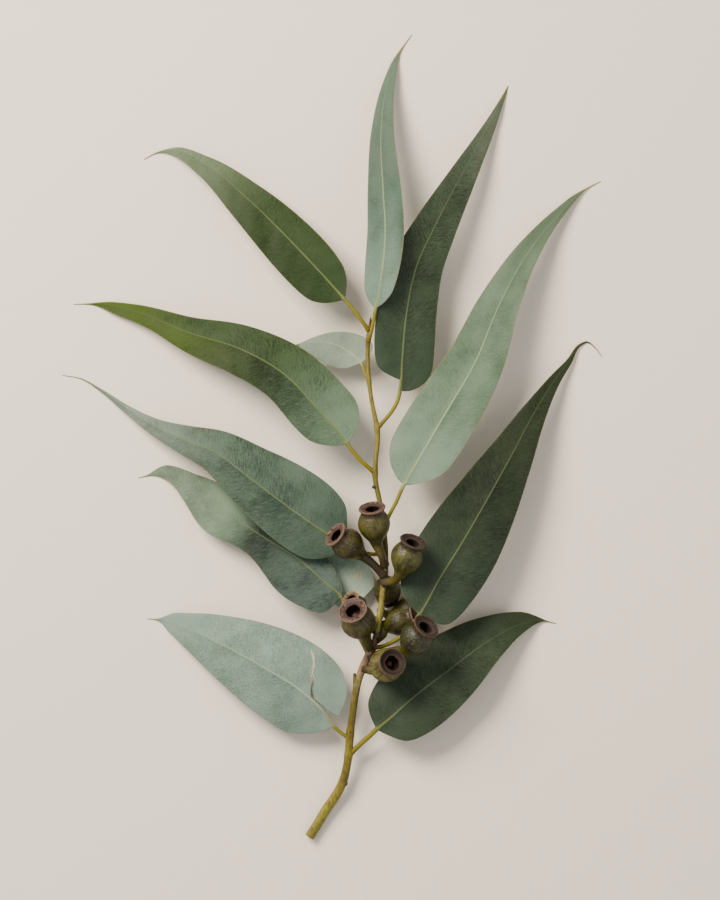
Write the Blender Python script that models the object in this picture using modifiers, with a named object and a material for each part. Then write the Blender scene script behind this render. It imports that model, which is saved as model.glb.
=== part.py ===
"""A cut eucalyptus branch lying on a flat surface: one woody stem, twelve leaves and ten gum nuts.

The branch lies on the plane z = 0, its cut end towards -Y and its top towards +Y. Metres, +Z up.
Sizes below are written in millimetres and turned to metres where a mesh is made.
"""

import math
from typing import NamedTuple

import bmesh
import bpy
import numpy as np
from mathutils import Matrix, Vector

MM = 0.001

# Fit between pieces
GAP = 0.3

# Leaf blades: thickness, the midrib on them, and how their margins run
BLADE_HALF_THICKNESS = 0.4
TIP_HALF_THICKNESS = 0.2
TIP_THINNING = 8
FULL_THICKNESS_WIDTH = 3.0
MIDRIB_TIP_RADIUS = 0.3
MIDRIB_TAPER = 0.6
MIDRIB_SPREAD = 2.0
MIDRIB_TOP_SHARE = 0.3
FOLD_SOFTNESS = 2.5
WAVE_LAG = 0.25
SWEEP_REACH = 0.3
BASE_ROUNDING = 0.10
RIPPLE_LENGTH = 0.44
HAIR_SHARE = 0.4

# Leaf meshes
BLADE_INTERVALS = 17
PETIOLE_INTERVALS = 4
RIBS_ACROSS = 7
HEADING_STEP = 0.001

# Woody stem
STEM_STEP = 6.5
TUBE_RESOLUTION = 2
KNOB_BACK = 0.75
KNOB_BACK_RADIUS = 0.55
KNOB_SHOULDER = 0.55
KNOB_SHOULDER_RADIUS = 0.8
KNOB_CROWN = 0.95
KNOB_CROWN_RADIUS = 0.3

# Gum nuts
NUT_STEPS = 12
NUT_BELLY_BELOW_RIM = 9.0
NUT_BASE_BELOW_RIM = 19.5
STALK_INSIDE_NUT = 2.5
STALK_RADIUS = 1.7
STALK_BASE_RADIUS = 2.4
STALK_INTERVALS = 5

# Cutters
TEAR_DEPTH = 40.0
FLOOR_BLOCK_SIZE = 500.0
FLOOR_BLOCK_DEPTH = 20.0

# Meshes: corners nearer than this are one, and edges sharper than this stay sharp
CAP_WELD = 0.01
BOOLEAN_WELD = 0.002
SHARP_ANGLE = 50.0

# Finishes
BARK_COLOUR = (0.275, 0.212, 0.030)
BARK_ROUGHNESS = 0.55
LEAF_ROUGHNESS = 0.6
NUT_ROUGHNESS = 0.65


class StemPoint(NamedTuple):
    """A point of the stem's centre line, with the stem's radius there."""

    x: float
    y: float
    z: float
    radius: float


class Knob(NamedTuple):
    """A short rounded peg on the stem: a bud, a leaf scar, a twig stub or a swelling."""

    start: tuple
    end: tuple
    start_radius: float
    end_radius: float


class Side(NamedTuple):
    """One half of a blade: its widest half width, where that is, and how drawn out its tip is.

    rounding is the share of the blade that its base curves in over. sweep turns the base back, in degrees.
    ripple is an in and out wave of the margin, in millimetres, with a crest at ripple_at. start is the
    share of the blade where this half begins. point is the share that draws in to a hair at the tip.
    """

    width: float
    widest_at: float
    taper: float
    rounding: float = BASE_ROUNDING
    sweep: float = 0.0
    ripple: float = 0.0
    ripple_at: float = 0.5
    start: float = 0.0
    point: float = 0.0


class Leaf(NamedTuple):
    """A leaf: petiole and midrib routes, its two halves, and how the blade is bent.

    roll tilts the blade about its midrib, right side up. fold lifts both halves. droop lowers the margins.
    """

    name: str
    petiole: tuple
    midrib: tuple
    left: Side
    right: Side
    roll: float
    fold: float
    droop: float
    wave: float
    waves: float
    petiole_radius: float
    colour: tuple


class Nut(NamedTuple):
    """A gum nut: its belly's middle, its size, and its stalk's route to the stem.

    heading is the way that the mouth faces in plan. tilt is its axis's angle from upright.
    """

    name: str
    belly: tuple
    heading: float
    tilt: float
    size: float
    stalk: tuple
    colour: tuple


STEM_ROUTE = (
    StemPoint(-11.3, -201.0, 2.3, 2.5),
    StemPoint(-3.0, -187.3, 3.4, 2.45),
    StemPoint(4.5, -175.3, 5.2, 2.3),
    StemPoint(7.6, -164.3, 7.2, 2.1),
    StemPoint(9.0, -149.3, 10.0, 1.9),
    StemPoint(10.8, -135.8, 12.8, 1.8),
    StemPoint(13.0, -122.8, 15.8, 1.85),
    StemPoint(17.0, -111.8, 18.6, 1.75),
    StemPoint(21.0, -103.3, 20.6, 1.65),
    StemPoint(23.5, -91.8, 21.6, 1.45),
    StemPoint(25.3, -76.8, 21.6, 1.4),
    StemPoint(26.7, -58.5, 21.4, 1.4),
    StemPoint(25.2, -39.5, 21.4, 1.3),
    StemPoint(21.6, -20.5, 21.4, 1.25),
    StemPoint(22.6, 3.3, 21.2, 1.2),
    StemPoint(20.2, 15.8, 21.0, 1.1),
    StemPoint(18.2, 30.8, 20.8, 1.1),
    StemPoint(18.0, 46.8, 20.4, 1.05),
    StemPoint(19.0, 55.3, 20.2, 0.95),
)

KNOBS = (
    Knob((4.4, -174.6, 5.4), (6.8, -173.8, 6.3), 1.7, 1.1),
    Knob((11.4, -128.0, 14.6), (11.3, -118.4, 17.6), 1.0, 0.85),
    Knob((8.6, -147.5, 10.2), (8.8, -151.5, 9.6), 2.1, 2.1),
    Knob((8.6, -158.2, 8.2), (8.2, -160.5, 7.9), 2.25, 2.2),
    Knob((19.3, -107.2, 19.8), (20.2, -105.0, 20.3), 2.1, 2.1),
    Knob((26.0, -70.5, 21.6), (26.4, -62.5, 21.5), 1.85, 1.85),
    Knob((22.6, -25.2, 21.4), (20.6, -25.2, 22.4), 1.0, 1.0),
    Knob((21.5, -19.5, 21.4), (21.4, -16.5, 21.4), 1.55, 1.5),
    Knob((22.6, 2.2, 21.2), (22.4, 6.0, 21.2), 1.5, 1.4),
    Knob((18.0, 50.5, 20.3), (17.9, 47.0, 20.4), 1.4, 1.3),
    Knob((18.9, 54.5, 20.2), (19.4, 59.8, 21.2), 0.9, 0.3),
)

LEAVES = (
    Leaf(
        "leaf_upper_left",
        ((18.6, 52.6, 20.3), (15.0, 57.6, 20.6), (10.5, 63.6, 20.6)),
        ((6.0, 68.8, 20.2), (-16.0, 92.8, 19.0), (-41.0, 117.8, 14.0), (-63.5, 136.5, 6.0),
         (-80.0, 143.8, 1.5), (-87.0, 143.0, 0.6), (-94.5, 139.3, 0.0)),
        Side(14.4, 0.22, 1.1, point=0.15), Side(11.8, 0.24, 1.5, point=0.15),
        -8.0, 0.10, 1.5, 1.0, 1.6, 0.95, (0.060, 0.091, 0.028)),
    Leaf(
        "leaf_top",
        ((18.0, 46.6, 20.4), (19.6, 52.0, 23.4), (20.9, 58.6, 24.8)),
        ((21.8, 64.3, 25.6), (23.5, 73.3, 26.6), (26.5, 100.8, 26.2), (25.5, 123.3, 22.0),
         (24.5, 153.3, 13.0), (28.0, 178.3, 4.5), (32.5, 190.8, 1.0), (40.0, 201.9, 0.0)),
        Side(8.4, 0.22, 1.4, 0.06, point=0.12), Side(8.9, 0.30, 1.05, 0.07, point=0.16),
        12.0, 0.10, 0.8, 0.8, 1.5, 0.9, (0.270, 0.350, 0.305)),
    Leaf(
        "leaf_upper_right",
        ((22.6, 4.2, 21.2), (27.0, 8.9, 21.2), (30.2, 13.0, 20.8), (32.6, 17.4, 20.2)),
        ((34.0, 22.8, 19.6), (35.0, 38.3, 19.2), (37.5, 63.3, 19.2), (42.5, 85.8, 18.6),
         (50.5, 103.3, 17.0), (64.0, 129.3, 11.5), (79.0, 157.3, 4.0), (88.5, 176.3, 0.0)),
        Side(14.2, 0.17, 1.35, 0.045, start=0.034), Side(15.0, 0.13, 0.9, 0.08),
        -14.0, 0.16, 1.5, 1.0, 1.5, 1.0, (0.050, 0.074, 0.046)),
    Leaf(
        "leaf_right",
        ((25.9, -45.5, 21.4), (28.6, -39.3, 22.0), (31.6, -33.6, 22.2)),
        ((36.0, -23.8, 22.2), (44.0, -9.8, 22.4), (54.0, 7.3, 22.2), (71.5, 37.3, 20.5),
         (83.5, 65.8, 16.5), (99.0, 93.3, 10.0), (115.0, 112.8, 4.0), (127.5, 124.3, 0.8),
         (135.0, 128.3, 0.0)),
        Side(16.3, 0.15, 1.2, point=0.10), Side(16.0, 0.20, 1.5, point=0.08),
        9.0, 0.12, 1.5, 1.2, 1.5, 1.0, (0.250, 0.323, 0.238)),
    Leaf(
        "leaf_left",
        ((21.5, -18.2, 21.4), (17.6, -14.9, 22.0), (14.0, -11.6, 22.4), (10.2, -7.2, 22.6)),
        ((7.5, -3.3, 22.6), (-6.0, 12.3, 23.0), (-23.5, 30.8, 22.0), (-46.0, 43.8, 18.5),
         (-71.0, 51.8, 12.5), (-98.5, 62.8, 4.0), (-116.0, 66.5, 0.8), (-130.0, 66.5, 0.0)),
        Side(14.0, 0.22, 1.0, ripple=0.8, point=0.14), Side(16.9, 0.13, 1.35, point=0.12),
        -9.0, 0.12, 2.0, 1.4, 1.5, 1.0, (0.115, 0.162, 0.065)),
    Leaf(
        "leaf_small_behind",
        ((18.6, 26.5, 20.8), (16.8, 31.0, 18.0), (15.8, 34.0, 15.6)),
        ((14.5, 36.8, 14.0), (10.0, 41.3, 13.0), (-1.0, 46.8, 12.5), (-11.0, 47.3, 11.5),
         (-18.0, 46.0, 10.5)),
        Side(10.5, 0.42, 0.75), Side(10.2, 0.12, 1.6),
        5.0, 0.08, 0.6, 0.4, 1.0, 0.7, (0.320, 0.366, 0.323)),
    Leaf(
        "leaf_middle_left",
        ((26.7, -58.8, 21.4), (19.0, -58.6, 20.4), (13.0, -57.0, 19.8)),
        ((7.0, -54.3, 19.6), (-3.5, -47.8, 20.4), (-16.0, -39.3, 21.0), (-41.0, -20.8, 20.0),
         (-58.5, -7.8, 17.5), (-73.5, -1.8, 13.5), (-88.5, 4.8, 8.0), (-103.5, 14.3, 3.0),
         (-116.0, 23.3, 0.8), (-126.0, 29.0, 0.2), (-135.5, 30.8, 0.0)),
        Side(16.8, 0.15, 2.0), Side(20.4, 0.18, 2.6, 0.075),
        4.0, 0.08, 1.5, 1.2, 2.0, 1.0, (0.133, 0.195, 0.133)),
    Leaf(
        "leaf_lower_left",
        ((18.1, -109.3, 19.2), (13.0, -99.8, 15.4), (7.4, -90.0, 14.2)),
        ((4.5, -80.3, 14.4), (-3.5, -72.8, 14.6), (-16.0, -61.8, 14.2), (-35.0, -49.8, 12.6),
         (-51.0, -39.3, 9.8), (-71.0, -26.8, 5.0), (-87.5, -18.8, 1.0), (-97.5, -20.8, 0.0)),
        Side(16.4, 0.20, 1.02, 0.09, 32.0, 3.2, 0.64, point=0.16), Side(12.0, 0.42, 0.80, point=0.16),
        -6.0, 0.04, 1.0, 0.9, 2.0, 0.9, (0.140, 0.205, 0.150)),
    Leaf(
        "leaf_hidden",
        ((23.7, -90.6, 21.6), (21.2, -90.4, 14.0), (17.0, -88.4, 9.4)),
        ((12.5, -84.8, 7.8), (6.5, -74.3, 7.8), (-3.5, -64.3, 6.5), (-16.0, -55.8, 3.0),
         (-27.0, -49.8, 0.0)),
        Side(10.2, 0.32, 0.8), Side(14.8, 0.30, 0.8),
        -6.0, 0.02, 0.5, 0.3, 1.0, 0.8, (0.235, 0.330, 0.270)),
    Leaf(
        "leaf_bottom_left",
        ((9.0, -150.2, 9.8), (5.2, -147.8, 10.6)),
        ((0.5, -144.8, 11.4), (-6.0, -135.8, 13.0), (-16.0, -126.8, 14.2), (-31.0, -117.3, 14.0),
         (-51.0, -106.3, 10.5), (-71.0, -96.8, 4.5), (-83.5, -92.4, 0.8), (-93.0, -91.6, 0.0)),
        Side(21.6, 0.26, 1.0, point=0.15), Side(22.4, 0.28, 1.15, 0.18, 2.0, point=0.15),
        4.0, 0.04, 3.0, 0.8, 1.5, 0.9, (0.292, 0.376, 0.323)),
    Leaf(
        "leaf_lower_right",
        ((20.3, -105.6, 20.3), (26.5, -104.2, 23.4), (33.5, -100.4, 26.0), (39.4, -94.6, 26.8)),
        ((43.5, -88.8, 26.9), (54.0, -70.3, 25.8), (64.0, -54.3, 24.4), (74.0, -37.3, 22.5),
         (90.0, -8.8, 17.0), (102.0, 13.3, 10.5), (113.0, 30.3, 5.0), (119.0, 37.8, 2.5),
         (124.5, 46.0, 1.0), (128.0, 47.5, 0.4), (132.0, 44.8, 0.2), (135.4, 40.3, 0.0)),
        Side(19.4, 0.20, 2.0, 0.06, 12.0), Side(19.8, 0.18, 1.85, 0.05, 18.0),
        -4.0, 0.05, 2.2, 0.9, 1.5, 1.05, (0.040, 0.056, 0.028)),
    Leaf(
        "leaf_bottom_right",
        ((8.3, -159.6, 8.0), (11.6, -156.6, 8.8), (15.0, -153.3, 9.8), (19.0, -149.7, 11.2)),
        ((22.5, -146.3, 12.4), (29.0, -140.8, 14.0), (39.0, -131.8, 15.5), (59.0, -116.3, 15.2),
         (79.0, -101.8, 11.0), (94.0, -94.3, 5.5), (104.0, -92.0, 1.4), (112.5, -94.0, 0.0)),
        Side(18.7, 0.30, 1.15, 0.07, 8.0, point=0.22), Side(18.4, 0.26, 1.4, 0.08, point=0.12),
        7.0, 0.06, 2.0, 0.8, 1.5, 1.3, (0.048, 0.068, 0.042)),
)

NUTS = (
    Nut("gumnut_left", (7.5, -53.3, 31.0), 142.0, 62.0, 0.98,
        ((19.8, -63.0, 25.0), (25.8, -69.2, 22.2)), (0.115, 0.090, 0.040)),
    Nut("gumnut_top", (21.0, -43.3, 32.0), 97.5, 65.0, 1.0,
        ((24.4, -58.2, 26.4), (26.4, -64.2, 22.2)), (0.140, 0.120, 0.050)),
    Nut("gumnut_right", (37.5, -59.3, 36.2), 68.0, 63.0, 1.0,
        ((30.9, -71.8, 26.6), (25.8, -73.0, 22.2)), (0.150, 0.130, 0.055)),
    Nut("gumnut_behind", (27.8, -76.9, 10.3), -90.0, 150.0, 0.86,
        ((26.2, -70.2, 17.8), (26.0, -67.2, 20.5)), (0.080, 0.075, 0.035)),
    Nut("gumnut_floor", (38.9, -87.2, 6.6), 15.0, 90.0, 0.85,
        ((25.4, -88.4, 10.5), (24.4, -87.0, 21.6)), (0.120, 0.110, 0.050)),
    Nut("gumnut_under", (34.2, -92.5, 18.9), 18.0, 80.0, 0.84,
        ((25.6, -98.6, 18.6), (21.6, -101.8, 20.8)), (0.100, 0.090, 0.040)),
    Nut("gumnut_front_left", (13.0, -91.8, 31.2), 115.5, 41.0, 1.08,
        ((17.0, -101.0, 21.8), (19.8, -106.2, 20.1)), (0.130, 0.105, 0.045)),
    Nut("gumnut_front_right", (42.3, -99.8, 36.2), 51.0, 54.0, 1.03,
        ((35.8, -106.4, 26.8), (28.8, -107.4, 21.0), (18.0, -110.2, 19.1)), (0.110, 0.100, 0.050)),
    Nut("gumnut_bottom", (27.0, -113.8, 31.0), 29.4, 23.0, 1.04,
        ((21.6, -116.6, 20.0), (15.6, -115.6, 17.7)), (0.180, 0.150, 0.065)),
    Nut("gumnut_small", (12.0, -84.3, 18.2), 127.0, 50.0, 0.66,
        ((17.8, -93.4, 15.4), (22.5, -98.0, 21.2)), (0.250, 0.160, 0.090)),
)

# Half outline of a gum nut, from the floor of its hollow over the rim to its funnel: radius, height
NUT_PROFILE = (
    (0.0, -7.6), (3.6, -7.2), (4.6, -4.4), (3.2, -1.6), (2.9, -0.5), (3.2, 0.0), (6.4, 0.0),
    (6.9, -0.6), (6.6, -1.6), (5.9, -2.9), (7.2, -5.4), (8.1, -8.4), (7.9, -11.0), (6.6, -14.0),
    (5.1, -16.4), (3.9, -18.4), (3.0, -19.9), (0.0, -19.9),
)

# Outline of the tear: the gap beside the petiole, then the slit that runs up into the blade
TEAR_OUTLINE = (
    (9.5, -146.6), (8.0, -141.2), (2.2, -139.6), (-2.0, -137.3), (-6.0, -133.7), (-9.2, -131.0),
    (-9.7, -126.5), (-8.8, -121.7), (-9.5, -118.7), (-8.6, -113.0), (-9.1, -109.8),
    (-10.9, -107.2), (-10.1, -110.0), (-9.6, -113.0), (-10.6, -118.7), (-9.8, -121.7),
    (-10.8, -126.5), (-10.6, -129.9), (-8.0, -132.4), (-4.6, -135.2), (-1.2, -139.7),
    (2.4, -144.4),
)


def clear_scene():
    """Remove every object that the scene starts with."""
    for existing in list(bpy.data.objects):
        bpy.data.objects.remove(existing, do_unlink=True)


def new_collection(name):
    """Make a collection under the scene's own."""
    collection = bpy.data.collections.new(name)
    bpy.context.scene.collection.children.link(collection)
    return collection


def new_material(name, colour, roughness):
    """Make a Principled material of one colour."""
    material = bpy.data.materials.new(name)
    material.use_nodes = True
    shader = material.node_tree.nodes["Principled BSDF"]
    shader.inputs["Base Color"].default_value = (*colour, 1.0)
    shader.inputs["Roughness"].default_value = roughness
    shader.inputs["Metallic"].default_value = 0.0
    return material


def smooth_curve(points, at):
    """Read a smooth curve through the points, at positions from 0 to 1 of its chord length."""
    knots = np.array(points, dtype=float)
    chords = np.linalg.norm(np.diff(knots[:, :3], axis=0), axis=1)
    reach = np.concatenate([[0.0], np.cumsum(chords)])
    slopes = np.gradient(knots, reach, axis=0)
    places = np.asarray(at) * reach[-1]
    span = np.clip(np.searchsorted(reach, places, side="right") - 1, 0, len(chords) - 1)
    width = chords[span][:, None]
    u = (places - reach[span])[:, None] / width
    start = (2 * u**3 - 3 * u**2 + 1) * knots[span] + (u**3 - 2 * u**2 + u) * width * slopes[span]
    end = (3 * u**2 - 2 * u**3) * knots[span + 1] + (u**3 - u**2) * width * slopes[span + 1]
    return start + end


def route_length(points):
    """Length of the chords between the points."""
    return float(np.linalg.norm(np.diff(np.array(points)[:, :3], axis=0), axis=1).sum())


def mesh_object(name, mesh, collection):
    """Put a mesh into a new object."""
    made = bpy.data.objects.new(name, mesh)
    collection.objects.link(made)
    return made


def curve_to_mesh(name, curve, collection):
    """Turn a curve into a mesh object, with the rims of its faces welded together."""
    source = bpy.data.objects.new(name + "_curve", curve)
    collection.objects.link(source)
    bpy.context.view_layer.update()
    mesh = bpy.data.meshes.new_from_object(source.evaluated_get(bpy.context.evaluated_depsgraph_get()))
    bpy.data.objects.remove(source, do_unlink=True)
    welded = bmesh.new()
    welded.from_mesh(mesh)
    bmesh.ops.remove_doubles(welded, verts=welded.verts, dist=CAP_WELD * MM)
    bmesh.ops.recalc_face_normals(welded, faces=welded.faces)
    welded.to_mesh(mesh)
    welded.free()
    return mesh_object(name, mesh, collection)


def tube_object(name, points, radii, collection):
    """Make a closed tube: a poly curve with a round bevel and filled caps."""
    curve = bpy.data.curves.new(name, "CURVE")
    curve.dimensions = "3D"
    curve.bevel_depth = MM
    curve.bevel_resolution = TUBE_RESOLUTION
    curve.use_fill_caps = True
    spline = curve.splines.new("POLY")
    spline.points.add(len(points) - 1)
    for control, point, radius in zip(spline.points, points, radii):
        control.co = (*(MM * np.array(point)), 1.0)
        control.radius = radius
    return curve_to_mesh(name, curve, collection)


def knob_object(name, knob, grow, collection):
    """Make one knob, with its radii grown: a tube from end to end, narrowed behind and rounded in front."""
    start = np.array(knob.start)
    end = np.array(knob.end)
    along = (end - start) / np.linalg.norm(end - start)
    first = knob.start_radius + grow
    last = knob.end_radius + grow
    rows = (
        (start - KNOB_BACK * first * along, KNOB_BACK_RADIUS * first),
        (start, first),
        (end, last),
        (end + KNOB_SHOULDER * last * along, KNOB_SHOULDER_RADIUS * last),
        (end + KNOB_CROWN * last * along, KNOB_CROWN_RADIUS * last),
    )
    return tube_object(name, [row[0] for row in rows], [row[1] for row in rows], collection)


def stem_object(name, grow, collection):
    """Make the stem with its buds, scars and swellings joined on, each radius grown by the same amount."""
    route = [(p.x, p.y, p.z, p.radius) for p in STEM_ROUTE]
    count = int(route_length(route) / STEM_STEP)
    rows = smooth_curve(route, np.linspace(0.0, 1.0, count + 1))
    stem = tube_object(name, rows[:, :3], rows[:, 3] + grow, collection)
    knobs = new_collection(name + "_knobs")
    for number, knob in enumerate(KNOBS):
        knob_object(f"{name}_knob_{number}", knob, grow, knobs)
    union = stem.modifiers.new("knobs", "BOOLEAN")
    union.solver = "EXACT"
    union.operation = "UNION"
    union.operand_type = "COLLECTION"
    union.collection = knobs
    apply_modifiers(stem)
    for knob in list(knobs.objects):
        bpy.data.objects.remove(knob, do_unlink=True)
    bpy.data.collections.remove(knobs)
    return stem


def apply_modifiers(target):
    """Replace an object's mesh by its evaluated one, welded and with its modifiers gone."""
    bpy.context.view_layer.update()
    evaluated = target.evaluated_get(bpy.context.evaluated_depsgraph_get())
    mesh = bpy.data.meshes.new_from_object(evaluated)
    target.modifiers.clear()
    target.data = mesh
    welded = bmesh.new()
    welded.from_mesh(mesh)
    bmesh.ops.remove_doubles(welded, verts=welded.verts, dist=BOOLEAN_WELD * MM)
    bmesh.ops.dissolve_degenerate(welded, edges=welded.edges, dist=BOOLEAN_WELD * MM)
    bmesh.ops.triangulate(welded, faces=welded.faces)
    bmesh.ops.recalc_face_normals(welded, faces=welded.faces)
    welded.to_mesh(mesh)
    welded.free()


def add_boolean(target, cutter, operation, name):
    """Add a Boolean modifier with the exact solver."""
    modifier = target.modifiers.new(name, "BOOLEAN")
    modifier.solver = "EXACT"
    modifier.operation = operation
    modifier.object = cutter


def hide_cutter(cutter):
    """Mark an object as a cutter."""
    cutter.hide_render = True
    cutter.display_type = "WIRE"


def half_width(side, t):
    """Half width of a blade at t from base to tip.

    It rises as a power of t and falls as a power of 1 - t, with its peak where the side is widest.
    A quarter of an ellipse rounds the base, a cosine along the margin gives its ripple, and a smooth
    step draws the tip in.
    """
    hair = 1.0 - blend(t, 1.0 - side.point, 1.0 - HAIR_SHARE * side.point) if side.point else 1.0
    t = np.clip((t - side.start) / (1.0 - side.start), 0.0, 1.0)
    base = side.taper * side.widest_at / (1.0 - side.widest_at)
    rise = (t / side.widest_at) ** base
    fall = ((1.0 - t) / (1.0 - side.widest_at)) ** side.taper
    corner = np.sqrt(1.0 - (1.0 - np.minimum(t / side.rounding, 1.0)) ** 2)
    phase = 2.0 * math.pi * (t - side.ripple_at) / RIPPLE_LENGTH
    ripple = side.ripple * np.cos(phase) * np.sqrt(np.sin(math.pi * t))
    return (side.width * rise * fall + ripple) * corner * hair


def blend(t, start, end):
    """Smooth step from 0 at start to 1 at end."""
    u = np.clip((t - start) / (end - start), 0.0, 1.0)
    return u * u * (3.0 - 2.0 * u)


def leaf_rings(leaf):
    """Points of the rings of a leaf, from its petiole on the stem to its tip, in millimetres.

    Each ring runs left to right over the top and back underneath. A petiole ring is round. On the
    blade it is drawn out to both margins, its height the midrib's plus roll, fold, droop and wave.
    """
    route = leaf.petiole + leaf.midrib
    whole = route_length(route)
    stalk = route_length(leaf.petiole + leaf.midrib[:1]) / whole
    along_stalk = np.linspace(0.0, stalk, PETIOLE_INTERVALS, endpoint=False)
    blade_steps = 0.5 - 0.5 * np.cos(np.linspace(0.0, math.pi, BLADE_INTERVALS + 1))
    places = np.concatenate([along_stalk, stalk + (1.0 - stalk) * blade_steps])
    centre = smooth_curve(route, places)
    ahead = smooth_curve(route, np.clip(places + HEADING_STEP, 0.0, 1.0))
    behind = smooth_curve(route, np.clip(places - HEADING_STEP, 0.0, 1.0))
    heading = ahead[:, :2] - behind[:, :2]
    heading = heading / np.linalg.norm(heading, axis=1)[:, None]
    t = np.clip((places - stalk) / (1.0 - stalk), 0.0, 1.0)[:, None]

    across = np.linspace(-1.0, 1.0, RIBS_ACROSS)
    across = np.concatenate([across, across[::-1]])[None, :]
    turn = math.pi - (np.arange(2 * RIBS_ACROSS) + 0.5) * math.pi / RIBS_ACROSS
    top = np.sin(turn)[None, :] > 0.0
    reach = np.where(across < 0.0, half_width(leaf.left, t), half_width(leaf.right, t))
    rib = leaf.petiole_radius + (MIDRIB_TIP_RADIUS - leaf.petiole_radius) * t**MIDRIB_TAPER
    widest = max(leaf.left.width, leaf.right.width)
    flatness = blend(reach, 0.0, FULL_THICKNESS_WIDTH)
    out = across * reach
    waving = np.sin(2.0 * math.pi * (leaf.waves * t + WAVE_LAG * across))
    height = centre[:, 2:3] + math.tan(math.radians(leaf.roll)) * out
    height = height + leaf.fold * (np.hypot(out, FOLD_SOFTNESS) - FOLD_SOFTNESS)
    height = height - leaf.droop * (out / widest) ** 2
    height = height + leaf.wave * across**2 * (reach / widest) * waving

    thinning = (TIP_HALF_THICKNESS - BLADE_HALF_THICKNESS) * t**TIP_THINNING
    edge = (BLADE_HALF_THICKNESS + thinning) * flatness
    bulge = rib * np.abs(np.sin(turn))[None, :] * np.exp(-((out / MIDRIB_SPREAD) ** 2))
    upper = edge + bulge * (1.0 - (1.0 - MIDRIB_TOP_SHARE) * flatness)
    lower = edge + bulge
    height = np.maximum(height, lower)
    height = np.where(top, height + upper, height - lower)

    sweep = np.where(across < 0.0, leaf.left.sweep, leaf.right.sweep) * (1.0 - blend(t, 0.0, SWEEP_REACH))
    sideways = (out + rib * np.cos(turn)[None, :]) * np.cos(np.radians(sweep))
    backwards = np.abs(out) * np.sin(np.radians(sweep))
    x = centre[:, 0:1] + sideways * heading[:, 1:2] - backwards * heading[:, 0:1]
    y = centre[:, 1:2] - sideways * heading[:, 0:1] - backwards * heading[:, 1:2]
    return np.stack([x, y, height], axis=-1)


def leaf_object(leaf, collection):
    """Loft a leaf's rings, petiole and blade in one closed body, split into triangles alike on both faces."""
    rings = leaf_rings(leaf) * MM
    count, size, _ = rings.shape
    loft = bmesh.new()
    verts = [[loft.verts.new(point) for point in ring] for ring in rings]
    for i in range(count - 1):
        for k in range(size):
            following = (k + 1) % size
            near, far = verts[i], verts[i + 1]
            if k < RIBS_ACROSS:
                loft.faces.new((near[k], near[following], far[following]))
                loft.faces.new((near[k], far[following], far[k]))
            else:
                loft.faces.new((near[k], near[following], far[k]))
                loft.faces.new((near[following], far[following], far[k]))
    loft.faces.new(verts[0][::-1])
    loft.faces.new(verts[-1])
    bmesh.ops.recalc_face_normals(loft, faces=loft.faces)
    mesh = bpy.data.meshes.new(leaf.name)
    loft.to_mesh(mesh)
    loft.free()
    return mesh_object(leaf.name, mesh, collection)


def nut_axis(nut):
    """Unit vector from the funnel of a gum nut to its mouth."""
    heading = math.radians(nut.heading)
    tilt = math.radians(nut.tilt)
    return Vector((math.sin(tilt) * math.cos(heading), math.sin(tilt) * math.sin(heading), math.cos(tilt)))


def nut_object(nut, collection, cutters):
    """Turn a gum nut's urn, and join its stalk on."""
    profile = bmesh.new()
    points = [profile.verts.new((nut.size * r * MM, 0.0, nut.size * z * MM)) for r, z in NUT_PROFILE]
    for first, second in zip(points, points[1:]):
        profile.edges.new((first, second))
    mesh = bpy.data.meshes.new(nut.name)
    profile.to_mesh(mesh)
    profile.free()
    made = mesh_object(nut.name, mesh, collection)
    axis = nut_axis(nut)
    rim = Vector(nut.belly) + axis * NUT_BELLY_BELOW_RIM * nut.size
    turned = axis.to_track_quat("Z", "Y").to_matrix().to_4x4()
    made.matrix_world = Matrix.Translation(rim * MM) @ turned
    screw = made.modifiers.new("turned", "SCREW")
    screw.steps = NUT_STEPS
    screw.render_steps = NUT_STEPS
    screw.use_merge_vertices = True
    screw.merge_threshold = CAP_WELD * MM

    funnel_end = rim - axis * NUT_BASE_BELOW_RIM * nut.size
    funnel_inside = funnel_end + axis * STALK_INSIDE_NUT * nut.size
    route = (tuple(funnel_inside), tuple(funnel_end)) + nut.stalk
    rows = smooth_curve(route, np.linspace(0.0, 1.0, STALK_INTERVALS + 1))
    radii = np.linspace(STALK_BASE_RADIUS, STALK_RADIUS, len(rows)) * math.sqrt(nut.size)
    stalk = tube_object(nut.name + "_stalk", rows, radii, cutters)
    hide_cutter(stalk)
    add_boolean(made, stalk, "UNION", "stalk")
    return made


def floor_object(cutters):
    """Make the block under z = 0 that flattens the spots where the branch rests."""
    bpy.ops.mesh.primitive_cube_add(size=1.0)
    block = bpy.context.object
    block.name = "floor_block"
    for holder in list(block.users_collection):
        holder.objects.unlink(block)
    cutters.objects.link(block)
    sizes = Vector((FLOOR_BLOCK_SIZE, FLOOR_BLOCK_SIZE, FLOOR_BLOCK_DEPTH)) * MM
    block.data.transform(Matrix.Diagonal(sizes).to_4x4())
    block.location = (0.0, 0.0, -0.5 * FLOOR_BLOCK_DEPTH * MM)
    hide_cutter(block)
    return block


def tear_object(cutters):
    """Make the upright prism that cuts the tear: a flat outline, filled and extruded."""
    curve = bpy.data.curves.new("tear", "CURVE")
    curve.dimensions = "2D"
    curve.fill_mode = "BOTH"
    curve.extrude = 0.5 * TEAR_DEPTH * MM
    spline = curve.splines.new("POLY")
    spline.points.add(len(TEAR_OUTLINE) - 1)
    for control, (x, y) in zip(spline.points, TEAR_OUTLINE):
        control.co = (x * MM, y * MM, 0.0, 1.0)
    spline.use_cyclic_u = True
    made = curve_to_mesh("tear", curve, cutters)
    hide_cutter(made)
    return made


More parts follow.
